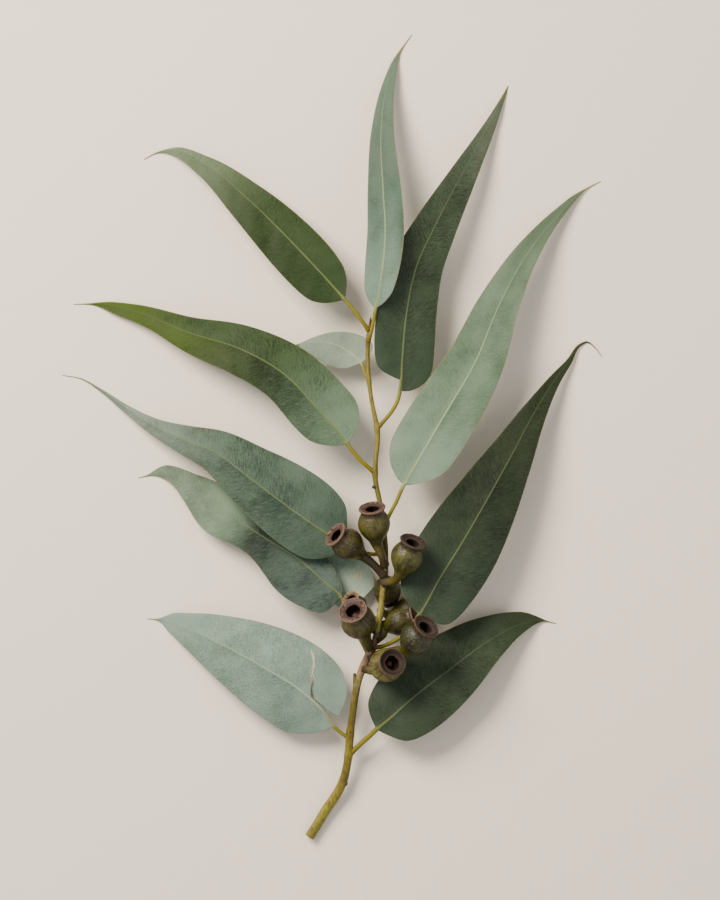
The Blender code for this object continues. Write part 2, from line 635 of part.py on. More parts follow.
def finish(made, colour, roughness):
    """Give a piece its own material and smooth shading that keeps sharp edges."""
    made.data.materials.clear()
    made.data.materials.append(new_material(made.name + "_material", colour, roughness))
    made.data.shade_smooth()
    made.data.set_sharp_from_angle(angle=math.radians(SHARP_ANGLE))


def build():
    """Build the whole branch."""
    clear_scene()
    branch = new_collection("eucalyptus_branch")
    cutters = new_collection("cutters")

    clearance = stem_object("stem_clearance", GAP, cutters)
    hide_cutter(clearance)
    floor_block = floor_object(cutters)
    tear = tear_object(cutters)

    stem = stem_object("main_stem", 0.0, branch)
    add_boolean(stem, floor_block, "DIFFERENCE", "rest")
    apply_modifiers(stem)
    finish(stem, BARK_COLOUR, BARK_ROUGHNESS)

    for leaf in LEAVES:
        made = leaf_object(leaf, branch)
        if leaf.name == "leaf_bottom_left":
            add_boolean(made, tear, "DIFFERENCE", "tear")
        add_boolean(made, clearance, "DIFFERENCE", "stem_gap")
        apply_modifiers(made)
        finish(made, leaf.colour, LEAF_ROUGHNESS)

    for nut in NUTS:
        made = nut_object(nut, branch, cutters)
        add_boolean(made, clearance, "DIFFERENCE", "stem_gap")
        if nut.name == "gumnut_floor":
            add_boolean(made, floor_block, "DIFFERENCE", "rest")
        apply_modifiers(made)
        finish(made, nut.colour, NUT_ROUGHNESS)


build()
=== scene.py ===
"""Dress a cut eucalyptus branch on a pale floor: a woody stem, twelve leaves and ten gum nuts.

Lengths are in millimetres until a mesh is made from them, and meshes are in metres. +Z is up, +Y
runs from the cut end of the stem to its top. Every piece replaces the CAD node of the same part.
"""

import logging
import math
from collections.abc import Mapping, Sequence
from dataclasses import dataclass, field
from enum import Enum

import bpy
import numpy as np
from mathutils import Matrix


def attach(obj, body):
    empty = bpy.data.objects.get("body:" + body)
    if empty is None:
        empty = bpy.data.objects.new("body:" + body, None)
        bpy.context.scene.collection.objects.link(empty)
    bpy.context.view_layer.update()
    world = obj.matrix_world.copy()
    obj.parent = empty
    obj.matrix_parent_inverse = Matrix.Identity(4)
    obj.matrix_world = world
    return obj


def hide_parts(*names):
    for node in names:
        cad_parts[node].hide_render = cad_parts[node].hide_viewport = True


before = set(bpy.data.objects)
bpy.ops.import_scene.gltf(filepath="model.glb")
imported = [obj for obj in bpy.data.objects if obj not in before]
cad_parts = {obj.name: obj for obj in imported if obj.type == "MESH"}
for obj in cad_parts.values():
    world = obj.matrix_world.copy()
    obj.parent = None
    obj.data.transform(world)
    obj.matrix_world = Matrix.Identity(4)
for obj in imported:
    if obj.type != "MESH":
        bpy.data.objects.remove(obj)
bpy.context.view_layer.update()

LOG = logging.getLogger("branch")
Point = tuple[float, float, float]
Maps = dict[str, np.ndarray]

# A millimetre in metres, millimetres in a metre, and a width that is next to nothing
MM = 0.001
PER_METRE = 1000.0
TINY = 1e-9

# Sockets of a colour Mix node. A Map Range node has its value at 0, the range that it lies in at 1
# and 2, and the range that it is turned into at 3 and 4. Noise lies mostly between 0.3 and 0.7.
MIX_FACTOR = 0
MIX_A = 6
MIX_B = 7
MIX_RESULT = 2

# Settings that many nodes share
COLOURS = {"data_type": "RGBA"}
SMOOTH = {"interpolation_type": "SMOOTHSTEP"}


class Slot(Enum):
    """Material slots of the record."""

    BARK = "bark"
    LEAF_OLIVE = "leaf_olive"
    LEAF_PALE = "leaf_pale"
    LEAF_MID = "leaf_mid"
    LEAF_DARK = "leaf_dark"
    GUMNUT = "gumnut"


class Peg(Enum):
    """What a short peg on the stem is, with how dark and dry it looks."""

    BUD = 1.0
    SCAR = 0.6
    STUB = 0.3


def to_linear(code: str) -> tuple[float, float, float, float]:
    """Turn an sRGB hex value into a linear colour with full alpha.

    Args:
        code: The colour as #rrggbb.

    Returns:
        Red, green, blue and alpha.
    """
    channels = np.array([int(code[i : i + 2], 16) for i in (1, 3, 5)]) / 255.0
    linear = np.where(channels <= 0.04045, channels / 12.92, ((channels + 0.055) / 1.055) ** 2.4)
    return (float(linear[0]), float(linear[1]), float(linear[2]), 1.0)


def smoothstep(value: np.ndarray, start: float, end: float) -> np.ndarray:
    """Rise from 0 at start to 1 at end as 3u² - 2u³.

    Args:
        value: Where to read it.
        start: Where it leaves 0.
        end: Where it reaches 1.

    Returns:
        The share at each value.
    """
    u = np.clip((value - start) / (end - start), 0.0, 1.0)
    return u * u * (3.0 - 2.0 * u)


def pair(first: np.ndarray, second: np.ndarray, shape: tuple[int, int]) -> np.ndarray:
    """Put two values side by side for every point.

    Args:
        first: Values that broadcast to the shape.
        second: The same.
        shape: Rings by columns plus one.

    Returns:
        The pairs.
    """
    return np.stack([np.broadcast_to(first, shape), np.broadcast_to(second, shape)], axis=-1)


class Graph:
    """The node tree of one material."""

    def __init__(self, name: str) -> None:
        """Start a material with a Principled shader.

        Args:
            name: The material's name.
        """
        self.material = bpy.data.materials.new(name)
        self.material.use_nodes = True
        self.tree = self.material.node_tree
        self.shader = self.tree.nodes["Principled BSDF"]

    def add(
        self,
        kind: str,
        inputs: Mapping[int | str, object] | None = None,
        out: int | str = 0,
        stops: Sequence[tuple[float, str]] = (),
        **settings: object,
    ) -> bpy.types.NodeSocket:
        """Add a node with its settings and its links.

        Args:
            kind: The node's type, without ShaderNode in front.
            inputs: For each input, the socket that feeds it or the value that it has.
            out: The output to return.
            stops: For a colour ramp, its places and hex colours.
            **settings: The node's own properties.

        Returns:
            The output socket. Its node gives the others.
        """
        node = self.tree.nodes.new("ShaderNode" + kind)
        for key, value in settings.items():
            setattr(node, key, value)
        for key, value in (inputs or {}).items():
            if isinstance(value, bpy.types.NodeSocket):
                self.tree.links.new(value, node.inputs[key])
            else:
                node.inputs[key].default_value = value
        if stops:
            elements = node.color_ramp.elements
            while len(elements) < len(stops):
                elements.new(0.5)
            for element, (place, code) in zip(elements, stops):
                element.position = place
                element.color = to_linear(code)
        return node.outputs[out]

    def finish(
        self,
        colour: bpy.types.NodeSocket | None,
        roughness: bpy.types.NodeSocket,
        normal: bpy.types.NodeSocket,
        **uniform: object,
    ) -> bpy.types.Material:
        """Link the shader and set the values that are the same all over.

        Args:
            colour: Base colour, or nothing where it is the same all over.
            roughness: Roughness.
            normal: Bumped normal.
            **uniform: Plain values of the shader, their names with underscores for spaces.

        Returns:
            The finished material.
        """
        if colour:
            self.tree.links.new(colour, self.shader.inputs["Base Color"])
        self.tree.links.new(roughness, self.shader.inputs["Roughness"])
        self.tree.links.new(normal, self.shader.inputs["Normal"])
        for key, value in uniform.items():
            self.shader.inputs[key.replace("_", " ")].default_value = value
        return self.material


@dataclass(frozen=True)
class WaxyLeaf:
    """A grown leaf under a matt wax bloom, rubbed thin in strokes that follow its side veins.

    The eye gets a chalky grey-green with darker patches and fine dashes where the wax is worn, a
    thin pale midrib, hardly any side veins, a straw-coloured margin and a dry yellow-brown tip.

    bare and bloom are the blade without and with its wax. tip tints it from the share tip_from to
    tip_by, tip_lean earlier on the left half, and near tints it from the base to near_to. cover is
    the mean share of wax, wear how far it falls in worn patches, and stroke_share how much a stroke
    adds or takes. painted_half_shade is how much more wax the right half has and how much less the
    left: painted light on one half and painted shade on the other, for halves that tip towards and
    away from the light. rib_green is how green the midrib starts, and shine the specular level. A
    scar is a healed graze of scar_size round scar_at.
    """

    bare: str
    bloom: str
    tip: str
    near: str
    stroke_share: float = 0.4
    painted_half_shade: float = 0.0
    cover: float = 0.5
    wear: float = 0.6
    tip_from: float = 0.55
    tip_by: float = 1.0
    tip_lean: float = 0.0
    near_to: float = 0.42
    rib_green: float = 0.4
    shine: float = 0.22
    rib: str = "#56633c"
    margin: str = "#6f6a34"
    margin_share: float = 0.45
    under: str = "#5f7058"
    petiole: str = "#6b6616"
    petiole_end: str = "#4e3a12"
    dry_tip: str = "#5c5524"
    torn_edge: str = "#4f3c1e"
    # Pale cream along the slit: painted light, as if bright floor showed through the tear
    slit_light: str = "#ddd3b4"
    scar: str = "#ae9e7c"
    scar_at: Point | None = None
    scar_size: float = 5.2

    patch_size: float = 17.0
    grain_size: float = 0.9
    stroke_length: float = 3.4
    stroke_width: float = 0.55
    vein_spacing: float = 3.1
    vein_slant: float = 0.75
    vein_waver: float = 9.0
    vein_share: float = 0.035
    rib_half_width: float = 0.36
    rib_tip_half_width: float = 0.14
    margin_width: float = 0.5
    halves_apart: float = 40.0
    relief_depth: float = 0.15

    def material(self, name: str) -> bpy.types.Material:
        """Build the finish on the leaf's own maps, which hold millimetres and shares.

        Args:
            name: The material's name.

        Returns:
            The material.
        """
        graph = Graph(name)
        add = graph.add
        across, along = add("SeparateXYZ", {0: add("UVMap", uv_map="blade_mm")}).node.outputs[:2]
        way = add("SeparateXYZ", {0: add("UVMap", uv_map="blade_share")}, 1)
        rim, under = add("SeparateXYZ", {0: add("UVMap", uv_map="blade_edge")}).node.outputs[:2]
        torn, lit_slit = add("SeparateXYZ", {0: add("UVMap", uv_map="blade_torn")}).node.outputs[:2]
        place = add("TexCoord", out="Object")
        aside = add("Math", {0: across}, operation="ABSOLUTE")
        side = add("Math", {0: across}, operation="SIGN")
        scale = PER_METRE / self.patch_size
        patches = add("TexNoise", {"Vector": place, "Scale": scale, "Detail": 3.0})

        # A side vein leaves the midrib forwards and wavers: on it, along less a slant is constant
        slant = add("Math", {0: aside, 1: -self.vein_slant, 2: along}, operation="MULTIPLY_ADD")
        slant = add("Math", {0: patches, 1: self.vein_waver, 2: slant}, operation="MULTIPLY_ADD")

        # Strokes: noise drawn out along the side veins, apart on the two halves
        stroke_at = add(
            "CombineXYZ",
            {
                0: add("Math", {0: slant, 1: 1.0 / self.stroke_width}, operation="MULTIPLY"),
                1: add("Math", {0: aside, 1: 1.0 / self.stroke_length}, operation="MULTIPLY"),
                2: add("Math", {0: side, 1: self.halves_apart}, operation="MULTIPLY"),
            },
        )
        strokes = add("TexNoise", {"Vector": stroke_at, "Scale": 1.0, "Detail": 2.0})
        scale = PER_METRE / self.grain_size
        grain = add("TexNoise", {"Vector": place, "Scale": scale, "Detail": 2.0})

        # Wax: its cover, less in worn patches, where the strokes show most, and more on one half:
        # painted light there and painted shade on the other half
        whole = add("MapRange", {0: patches, 1: 0.36, 2: 0.64, 3: 0.5, 4: -0.5})
        wax = add("Math", {0: whole, 1: self.wear, 2: self.cover}, operation="MULTIPLY_ADD")
        depth = add("MapRange", {0: whole, 1: 0.5, 2: -0.5, 3: 0.4, 4: 1.0})
        most = self.stroke_share
        dash = add("MapRange", {0: strokes, 1: 0.33, 2: 0.67, 3: -most, 4: most})
        wax = add("Math", {0: dash, 1: depth, 2: wax}, operation="MULTIPLY_ADD")
        # More wax on the right half and less on the left: painted light and painted shade of the
        # two halves
        wax = add("Math", {0: side, 1: self.painted_half_shade, 2: wax}, operation="MULTIPLY_ADD")
        speck = add("MapRange", {0: grain, 1: 0.3, 2: 0.7, 3: -0.24, 4: 0.24})
        wax = add("Math", {0: wax, 1: speck}, operation="ADD", use_clamp=True)
        worn, whole_wax = to_linear(self.bare), to_linear(self.bloom)
        face = add("Mix", {MIX_FACTOR: wax, MIX_A: worn, MIX_B: whole_wax}, MIX_RESULT, **COLOURS)

        # Both ends have a tint of their own, less so where the wax is worn
        kept = add("MapRange", {0: wax, 1: 0.0, 2: 1.0, 3: 0.5, 4: 1.0})
        reach = add("Math", {0: side, 1: -self.tip_lean, 2: way}, operation="MULTIPLY_ADD")
        far = add(
            "MapRange", {0: reach, 1: self.tip_from, 2: self.tip_by, 3: 0.0, 4: 1.0}, **SMOOTH
        )
        far = add("Math", {0: far, 1: kept}, operation="MULTIPLY")
        tint = to_linear(self.tip)
        face = add("Mix", {MIX_FACTOR: far, MIX_A: face, MIX_B: tint}, MIX_RESULT, **COLOURS)
        close = add("MapRange", {0: way, 1: 0.0, 2: self.near_to, 3: 0.9, 4: 0.0}, **SMOOTH)
        close = add("Math", {0: close, 1: kept}, operation="MULTIPLY")
        tint = to_linear(self.near)
        face = add("Mix", {MIX_FACTOR: close, MIX_A: face, MIX_B: tint}, MIX_RESULT, **COLOURS)

        # Side veins: very faint lines, each gone in some stretches. At scale 1 a wave texture
        # repeats every pi / 10.
        vein_at = add("CombineXYZ", {0: slant})
        veins = add("TexWave", {"Vector": vein_at, "Scale": math.pi / 10.0 / self.vein_spacing})
        shown = add("MapRange", {0: grain, 1: 0.4, 2: 0.6, 3: 0.0, 4: self.vein_share})
        line = add("MapRange", {0: veins, 1: 0.85, 2: 1.0, 3: 0.0, 4: 1.0})
        line = add("Math", {0: line, 1: shown}, operation="MULTIPLY")
        pale = to_linear(self.rib)
        face = add("Mix", {MIX_FACTOR: line, MIX_A: face, MIX_B: pale}, MIX_RESULT, **COLOURS)

        # Margin: a thin line, stronger in some stretches
        band = add(
            "MapRange", {0: rim, 1: 0.12, 2: self.margin_width, 3: self.margin_share, 4: 0.0}
        )
        stretch = add("MapRange", {0: patches, 1: 0.38, 2: 0.62, 3: 0.2, 4: 1.0})
        band = add("Math", {0: band, 1: stretch}, operation="MULTIPLY")
        straw = to_linear(self.margin)
        face = add("Mix", {MIX_FACTOR: band, MIX_A: face, MIX_B: straw}, MIX_RESULT, **COLOURS)

        # The underside is paler and its wax is whole
        turned = add("Math", {0: under, 1: 0.75}, operation="MULTIPLY")
        tint = to_linear(self.under)
        face = add("Mix", {MIX_FACTOR: turned, MIX_A: face, MIX_B: tint}, MIX_RESULT, **COLOURS)

        # A healed graze: it shows where the strokes' noise is above a level that rises outwards
        if self.scar_at:
            middle = tuple(MM * value for value in self.scar_at)
            away = add("VectorMath", {0: place, 1: middle}, 1, operation="DISTANCE")
            level = add("MapRange", {0: away, 1: 0.0, 2: self.scar_size * MM, 3: 0.36, 4: 0.86})
            above = add("Math", {0: strokes, 1: level}, operation="SUBTRACT")
            healed = add("MapRange", {0: above, 1: -0.1, 2: 0.08, 3: 0.0, 4: 0.9}, **SMOOTH)
            tint = to_linear(self.scar)
            face = add("Mix", {MIX_FACTOR: healed, MIX_A: face, MIX_B: tint}, MIX_RESULT, **COLOURS)

        # Midrib: a line that narrows and fades towards the tip
        wide, thin = self.rib_half_width, self.rib_tip_half_width
        width = add("MapRange", {0: way, 1: 0.0, 2: 1.0, 3: wide, 4: thin})
        off_rib = add("Math", {0: aside, 1: width}, operation="DIVIDE")
        line = add("MapRange", {0: off_rib, 1: 0.4, 2: 1.3, 3: 1.0, 4: 0.0}, **SMOOTH)
        fade = add("MapRange", {0: way, 1: 0.15, 2: 0.85, 3: 0.85, 4: 0.12})
        line = add("Math", {0: line, 1: fade}, operation="MULTIPLY")
        green, brown = to_linear(self.petiole), to_linear(self.petiole_end)
        start = add("MapRange", {0: way, 1: 0.0, 2: 0.17, 3: self.rib_green, 4: 0.0}, **SMOOTH)
        rib = add("Mix", {MIX_FACTOR: start, MIX_A: pale, MIX_B: green}, MIX_RESULT, **COLOURS)
        face = add("Mix", {MIX_FACTOR: line, MIX_A: face, MIX_B: rib}, MIX_RESULT, **COLOURS)

        # The tip's last hair is dry
        dry = add("MapRange", {0: way, 1: 0.93, 2: 0.99, 3: 0.0, 4: 0.85}, **SMOOTH)
        tint = to_linear(self.dry_tip)
        face = add("Mix", {MIX_FACTOR: dry, MIX_A: face, MIX_B: tint}, MIX_RESULT, **COLOURS)

        # Petiole: straw green, browner towards the stem
        stalk = add("MapRange", {0: way, 1: 0.01, 2: -0.22, 3: 0.0, 4: 1.0}, **SMOOTH)
        bark = add("MapRange", {0: way, 1: -0.6, 2: -0.95, 3: 0.0, 4: 0.6})
        stem = add("Mix", {MIX_FACTOR: bark, MIX_A: green, MIX_B: brown}, MIX_RESULT, **COLOURS)
        face = add("Mix", {MIX_FACTOR: stalk, MIX_A: face, MIX_B: stem}, MIX_RESULT, **COLOURS)

        # A torn edge is brown, and a pale band along the slit is painted light, as if bright floor
        # showed through it
        tint = to_linear(self.torn_edge)
        face = add("Mix", {MIX_FACTOR: torn, MIX_A: face, MIX_B: tint}, MIX_RESULT, **COLOURS)
        tint = to_linear(self.slit_light)
        face = add("Mix", {MIX_FACTOR: lit_slit, MIX_A: face, MIX_B: tint}, MIX_RESULT, **COLOURS)

        roughness = add("MapRange", {0: wax, 1: 0.0, 2: 1.0, 3: 0.5, 4: 0.66})
        relief = add("Math", {0: veins, 1: 0.12, 2: strokes}, operation="MULTIPLY_ADD")
        relief = add("Math", {0: grain, 1: 0.3, 2: relief}, operation="MULTIPLY_ADD")
        distance = self.relief_depth * MM
        normal = add("Bump", {"Height": relief, "Strength": 0.6, "Distance": distance})
        return graph.finish(face, roughness, normal, Specular_IOR_Level=self.shine)


@dataclass(frozen=True)
class YoungBark:
    """Smooth first-year bark of a gum twig, mustard to olive, purple-brown at the joints.

    The eye gets a waxy yellow-olive skin with fine lengthwise lines, a few rusty specks, mauve
    bloom in some stretches, dark dry buds and scars, and a pale sawn end.

    stops are the skin's colours by share of the stem's length from the cut end, and sawn_stops
    those of the cut from its bark to its pith. The stops from 0.335 to 0.62, under the nuts, are
    the bark's colours made lighter: painted light that lifts the nuts' shadows on the stem. The
    lines are drawn coarser than the real ones.
    """

    stops: tuple[tuple[float, str], ...] = (
        (0.000, "#6a6210"),
        (0.060, "#7c7616"),
        (0.105, "#746a14"),
        (0.140, "#4e4408"),
        (0.185, "#766e0c"),
        (0.230, "#584e06"),
        (0.290, "#58500e"),
        # From here to 0.62: the bark's colours made lighter, painted light against the nuts'
        # shadows
        (0.335, "#86784a"),
        (0.375, "#7c5f4c"),
        (0.405, "#4c3a22"),
        (0.430, "#8c8640"),
        (0.495, "#7c7428"),
        (0.522, "#5c4838"),
        (0.560, "#504a20"),
        (0.620, "#625c20"),
        (0.720, "#5c560e"),
        (0.790, "#726a20"),
        (0.900, "#6e661c"),
        (0.965, "#5a520c"),
        (1.000, "#58381e"),
    )
    sawn_stops: tuple[tuple[float, str], ...] = (
        (0.00, "#7d6c30"),
        (0.12, "#7d6c30"),
        (0.20, "#a8905f"),
        (0.80, "#b5a072"),
        (0.90, "#7a603c"),
        (1.00, "#6a5032"),
    )
    line_colour: str = "#3f330c"
    rust: str = "#4a2410"
    dry: str = "#2c1a12"
    blotch_size: float = 6.0
    wander: float = 0.022
    line_width: float = 0.5
    line_squeeze: float = 0.12
    speck_size: float = 2.2
    relief_depth: float = 0.2

    def material(self, name: str) -> bpy.types.Material:
        """Build the finish on the stem's own maps and on object coordinates.

        Args:
            name: The material's name.

        Returns:
            The material.
        """
        graph = Graph(name)
        add = graph.add
        way = add("SeparateXYZ", {0: add("UVMap", uv_map="stem_share")}, 1)
        dry, sawn = add("SeparateXYZ", {0: add("UVMap", uv_map="stem_mark")}).node.outputs[:2]
        place = add("TexCoord", out="Object")
        scale = PER_METRE / self.blotch_size
        blotches = add("TexNoise", {"Vector": place, "Scale": scale, "Detail": 4.0})
        most = self.wander
        aside = add("MapRange", {0: blotches, 1: 0.3, 2: 0.7, 3: -most, 4: most})
        read_at = add("Math", {0: way, 1: aside}, operation="ADD", use_clamp=True)
        skin = add("ValToRGB", {0: read_at}, stops=self.stops)

        # Lengthwise lines: noise squeezed across the stem's length, which runs near Y
        squeezed = add("Mapping", {"Vector": place, "Scale": (1.0, self.line_squeeze, 1.0)})
        scale = PER_METRE / self.line_width
        lines = add("TexNoise", {"Vector": squeezed, "Scale": scale, "Detail": 2.0})
        faint = add("MapRange", {0: lines, 1: 0.42, 2: 0.66, 3: 0.0, 4: 0.65})
        tint = to_linear(self.line_colour)
        skin = add("Mix", {MIX_FACTOR: faint, MIX_A: skin, MIX_B: tint}, MIX_RESULT, **COLOURS)
        scale = PER_METRE / self.speck_size
        specks = add("TexNoise", {"Vector": place, "Scale": scale, "Detail": 2.0})
        spots = add("MapRange", {0: specks, 1: 0.6, 2: 0.68, 3: 0.0, 4: 0.7})
        tint = to_linear(self.rust)
        skin = add("Mix", {MIX_FACTOR: spots, MIX_A: skin, MIX_B: tint}, MIX_RESULT, **COLOURS)
        tint = to_linear(self.dry)
        skin = add("Mix", {MIX_FACTOR: dry, MIX_A: skin, MIX_B: tint}, MIX_RESULT, **COLOURS)

        # Sawn end: pale wood, a darker pith in the middle and green-brown bark round it
        wood = add("ValToRGB", {0: sawn}, stops=self.sawn_stops)
        cut = add("MapRange", {0: sawn, 1: 0.01, 2: 0.05, 3: 0.0, 4: 1.0})
        colour = add("Mix", {MIX_FACTOR: cut, MIX_A: skin, MIX_B: wood}, MIX_RESULT, **COLOURS)
        roughness = add("MapRange", {0: blotches, 1: 0.3, 2: 0.7, 3: 0.38, 4: 0.56})
        relief = add("Math", {0: specks, 1: 0.6, 2: lines}, operation="MULTIPLY_ADD")
        distance = self.relief_depth * MM
        normal = add("Bump", {"Height": relief, "Strength": 0.6, "Distance": distance})
        return graph.finish(colour, roughness, normal, Specular_IOR_Level=0.35)


@dataclass(frozen=True)
class WoodyCapsule:
    """The woody fruit wall of a gum tree, dried on its rim and still green on its belly.

    The eye gets a dark olive urn, purple-brown towards its neck, streaked and blotched, with a
    broken waxy shine, a mauve-brown rim cracked across, a dark hollow and a brown stalk.

    Depths are below the rim and radii from the axis, both in millimetres of a nut of size 1: the
    first of a pair is where a colour starts, and the second where it is full.
    """

    belly: str = "#3f3d12"
    neck: str = "#33281a"
    funnel: str = "#47450f"
    stalk: str = "#4a4416"
    joint: str = "#322413"
    shade: str = "#120e06"
    bloom: str = "#5e582e"
    rim: str = "#3c2c25"
    crack: str = "#150b07"
    dust: str = "#6a5a4c"
    lip: str = "#5a473a"
    hollow: str = "#20130c"
    wall: str = "#33211a"
    valve: str = "#4e2e20"
    speck_size: float = 0.9
    blotch_size: float = 4.5
    streak_width: float = 1.3
    streak_length: float = 7.0
    belly_radius: float = 8.0
    depth_wander: float = 2.4
    belly_depths: tuple[float, float] = (1.5, 7.0)
    funnel_depths: tuple[float, float] = (11.0, 17.0)
    rim_depths: tuple[float, float] = (1.6, 0.7)
    lip_radii: tuple[float, float] = (6.1, 6.6)
    mouth_radii: tuple[float, float] = (5.2, 4.2)
    valve_radii: tuple[float, float] = (2.1, 1.0)
    relief_depth: float = 0.35

    def material(self, name: str) -> bpy.types.Material:
        """Build the finish on the nut's own maps and on object coordinates.

        Args:
            name: The material's name.

        Returns:
            The material.
        """
        graph = Graph(name)
        add = graph.add
        profile = add("SeparateXYZ", {0: add("UVMap", uv_map="nut_profile")})
        radial, depth = profile.node.outputs[:2]
        east, north = add("SeparateXYZ", {0: add("UVMap", uv_map="nut_turn")}).node.outputs[:2]
        stalk, inside = add("SeparateXYZ", {0: add("UVMap", uv_map="nut_zone")}).node.outputs[:2]
        place = add("TexCoord", out="Object")
        scale = PER_METRE / self.blotch_size
        blotches = add("TexNoise", {"Vector": place, "Scale": scale, "Detail": 4.0})
        scale = PER_METRE / self.speck_size
        specks = add("TexNoise", {"Vector": place, "Scale": scale, "Detail": 2.0})

        # Streaks: noise on the way round the belly, drawn out from rim to stalk
        streaks_round = self.belly_radius / self.streak_width
        streak_at = add(
            "CombineXYZ",
            {
                0: add("Math", {0: east, 1: streaks_round}, operation="MULTIPLY"),
                1: add("Math", {0: north, 1: streaks_round}, operation="MULTIPLY"),
                2: add("Math", {0: depth, 1: 1.0 / self.streak_length}, operation="MULTIPLY"),
            },
        )
        streaks = add("TexNoise", {"Vector": streak_at, "Scale": 1.0, "Detail": 3.0})

        # Wall: from neck to belly to funnel by depth below the rim, which wanders a little
        most = self.depth_wander
        wander = add("MapRange", {0: blotches, 1: 0.3, 2: 0.7, 3: -most, 4: most})
        level = add("Math", {0: depth, 1: wander}, operation="ADD")
        start, full = self.belly_depths
        lower = add("MapRange", {0: level, 1: start, 2: full, 3: 0.0, 4: 1.0}, **SMOOTH)
        neck, belly = to_linear(self.neck), to_linear(self.belly)
        wall = add("Mix", {MIX_FACTOR: lower, MIX_A: neck, MIX_B: belly}, MIX_RESULT, **COLOURS)
        start, full = self.funnel_depths
        lower = add("MapRange", {0: level, 1: start, 2: full, 3: 0.0, 4: 1.0}, **SMOOTH)
        tint = to_linear(self.funnel)
        wall = add("Mix", {MIX_FACTOR: lower, MIX_A: wall, MIX_B: tint}, MIX_RESULT, **COLOURS)
        dark = add("MapRange", {0: streaks, 1: 0.55, 2: 0.38, 3: 0.0, 4: 0.55})
        tint = to_linear(self.shade)
        wall = add("Mix", {MIX_FACTOR: dark, MIX_A: wall, MIX_B: tint}, MIX_RESULT, **COLOURS)
        dark = add("MapRange", {0: blotches, 1: 0.5, 2: 0.36, 3: 0.0, 4: 0.7})
        wall = add("Mix", {MIX_FACTOR: dark, MIX_A: wall, MIX_B: tint}, MIX_RESULT, **COLOURS)
        pale = add("MapRange", {0: specks, 1: 0.55, 2: 0.7, 3: 0.0, 4: 0.45})
        tint = to_linear(self.bloom)
        wall = add("Mix", {MIX_FACTOR: pale, MIX_A: wall, MIX_B: tint}, MIX_RESULT, **COLOURS)

        # Stalk
        down = add("MapRange", {0: stalk, 1: 0.0, 2: 0.35, 3: 0.0, 4: 0.85})
        tint = to_linear(self.stalk)
        wall = add("Mix", {MIX_FACTOR: down, MIX_A: wall, MIX_B: tint}, MIX_RESULT, **COLOURS)
        end = add("MapRange", {0: stalk, 1: 0.6, 2: 0.9, 3: 0.0, 4: 0.9})
        tint = to_linear(self.joint)
        wall = add("Mix", {MIX_FACTOR: end, MIX_A: wall, MIX_B: tint}, MIX_RESULT, **COLOURS)

        # Rim: radial cracks are noise on the direction from the middle, hardly changed by radius,
        # drawn coarser than the real ones, which are too fine to see
        ray_at = {0: east, 1: north, 2: add("Math", {0: radial, 1: 0.16}, operation="MULTIPLY")}
        ray_at = add("CombineXYZ", ray_at)
        rays = add("TexNoise", {"Vector": ray_at, "Scale": 2.8, "Detail": 3.0, "Roughness": 0.7})
        cracks = add("MapRange", {0: rays, 1: 0.52, 2: 0.4, 3: 0.0, 4: 0.85})
        disc, crack = to_linear(self.rim), to_linear(self.crack)
        rim = add("Mix", {MIX_FACTOR: cracks, MIX_A: disc, MIX_B: crack}, MIX_RESULT, **COLOURS)
        dust = add("MapRange", {0: specks, 1: 0.5, 2: 0.64, 3: 0.0, 4: 0.6})
        tint = to_linear(self.dust)
        rim = add("Mix", {MIX_FACTOR: dust, MIX_A: rim, MIX_B: tint}, MIX_RESULT, **COLOURS)
        start, full = self.lip_radii
        edge = add("MapRange", {0: radial, 1: start, 2: full, 3: 0.0, 4: 0.9})
        tint = to_linear(self.lip)
        rim = add("Mix", {MIX_FACTOR: edge, MIX_A: rim, MIX_B: tint}, MIX_RESULT, **COLOURS)
        start, full = self.mouth_radii
        mouth = add("MapRange", {0: radial, 1: start, 2: full, 3: 0.0, 4: 0.85})
        tint = to_linear(self.wall)
        rim = add("Mix", {MIX_FACTOR: mouth, MIX_A: rim, MIX_B: tint}, MIX_RESULT, **COLOURS)
        start, full = self.rim_depths
        on_rim = add("MapRange", {0: depth, 1: full, 2: start, 3: 1.0, 4: 0.0}, **SMOOTH)
        skin = add("Mix", {MIX_FACTOR: on_rim, MIX_A: wall, MIX_B: rim}, MIX_RESULT, **COLOURS)

        # Hollow, with the tips of the valves in its middle
        start, full = self.valve_radii
        deep = add("MapRange", {0: radial, 1: start, 2: full, 3: 0.0, 4: 0.8}, **SMOOTH)
        black, valve = to_linear(self.hollow), to_linear(self.valve)
        hollow = add("Mix", {MIX_FACTOR: deep, MIX_A: black, MIX_B: valve}, MIX_RESULT, **COLOURS)
        colour = add("Mix", {MIX_FACTOR: inside, MIX_A: skin, MIX_B: hollow}, MIX_RESULT, **COLOURS)
        shine = add("MapRange", {0: blotches, 1: 0.35, 2: 0.65, 3: 0.56, 4: 0.36})
        dull = add("Math", {0: on_rim, 1: inside}, operation="MAXIMUM")
        dull = add("Math", {0: dull, 1: end}, operation="MAXIMUM")
        roughness = add("Math", {0: dull, 1: 0.4, 2: shine}, operation="MULTIPLY_ADD")
        relief = add("Math", {0: blotches, 1: 1.2, 2: specks}, operation="MULTIPLY_ADD")
        relief = add("Math", {0: streaks, 1: 0.8, 2: relief}, operation="MULTIPLY_ADD")
        relief = add("Math", {0: rays, 1: on_rim, 2: relief}, operation="MULTIPLY_ADD")
        distance = self.relief_depth * MM
        normal = add("Bump", {"Height": relief, "Strength": 0.7, "Distance": distance})
        return graph.finish(colour, roughness, normal, Specular_IOR_Level=0.36)


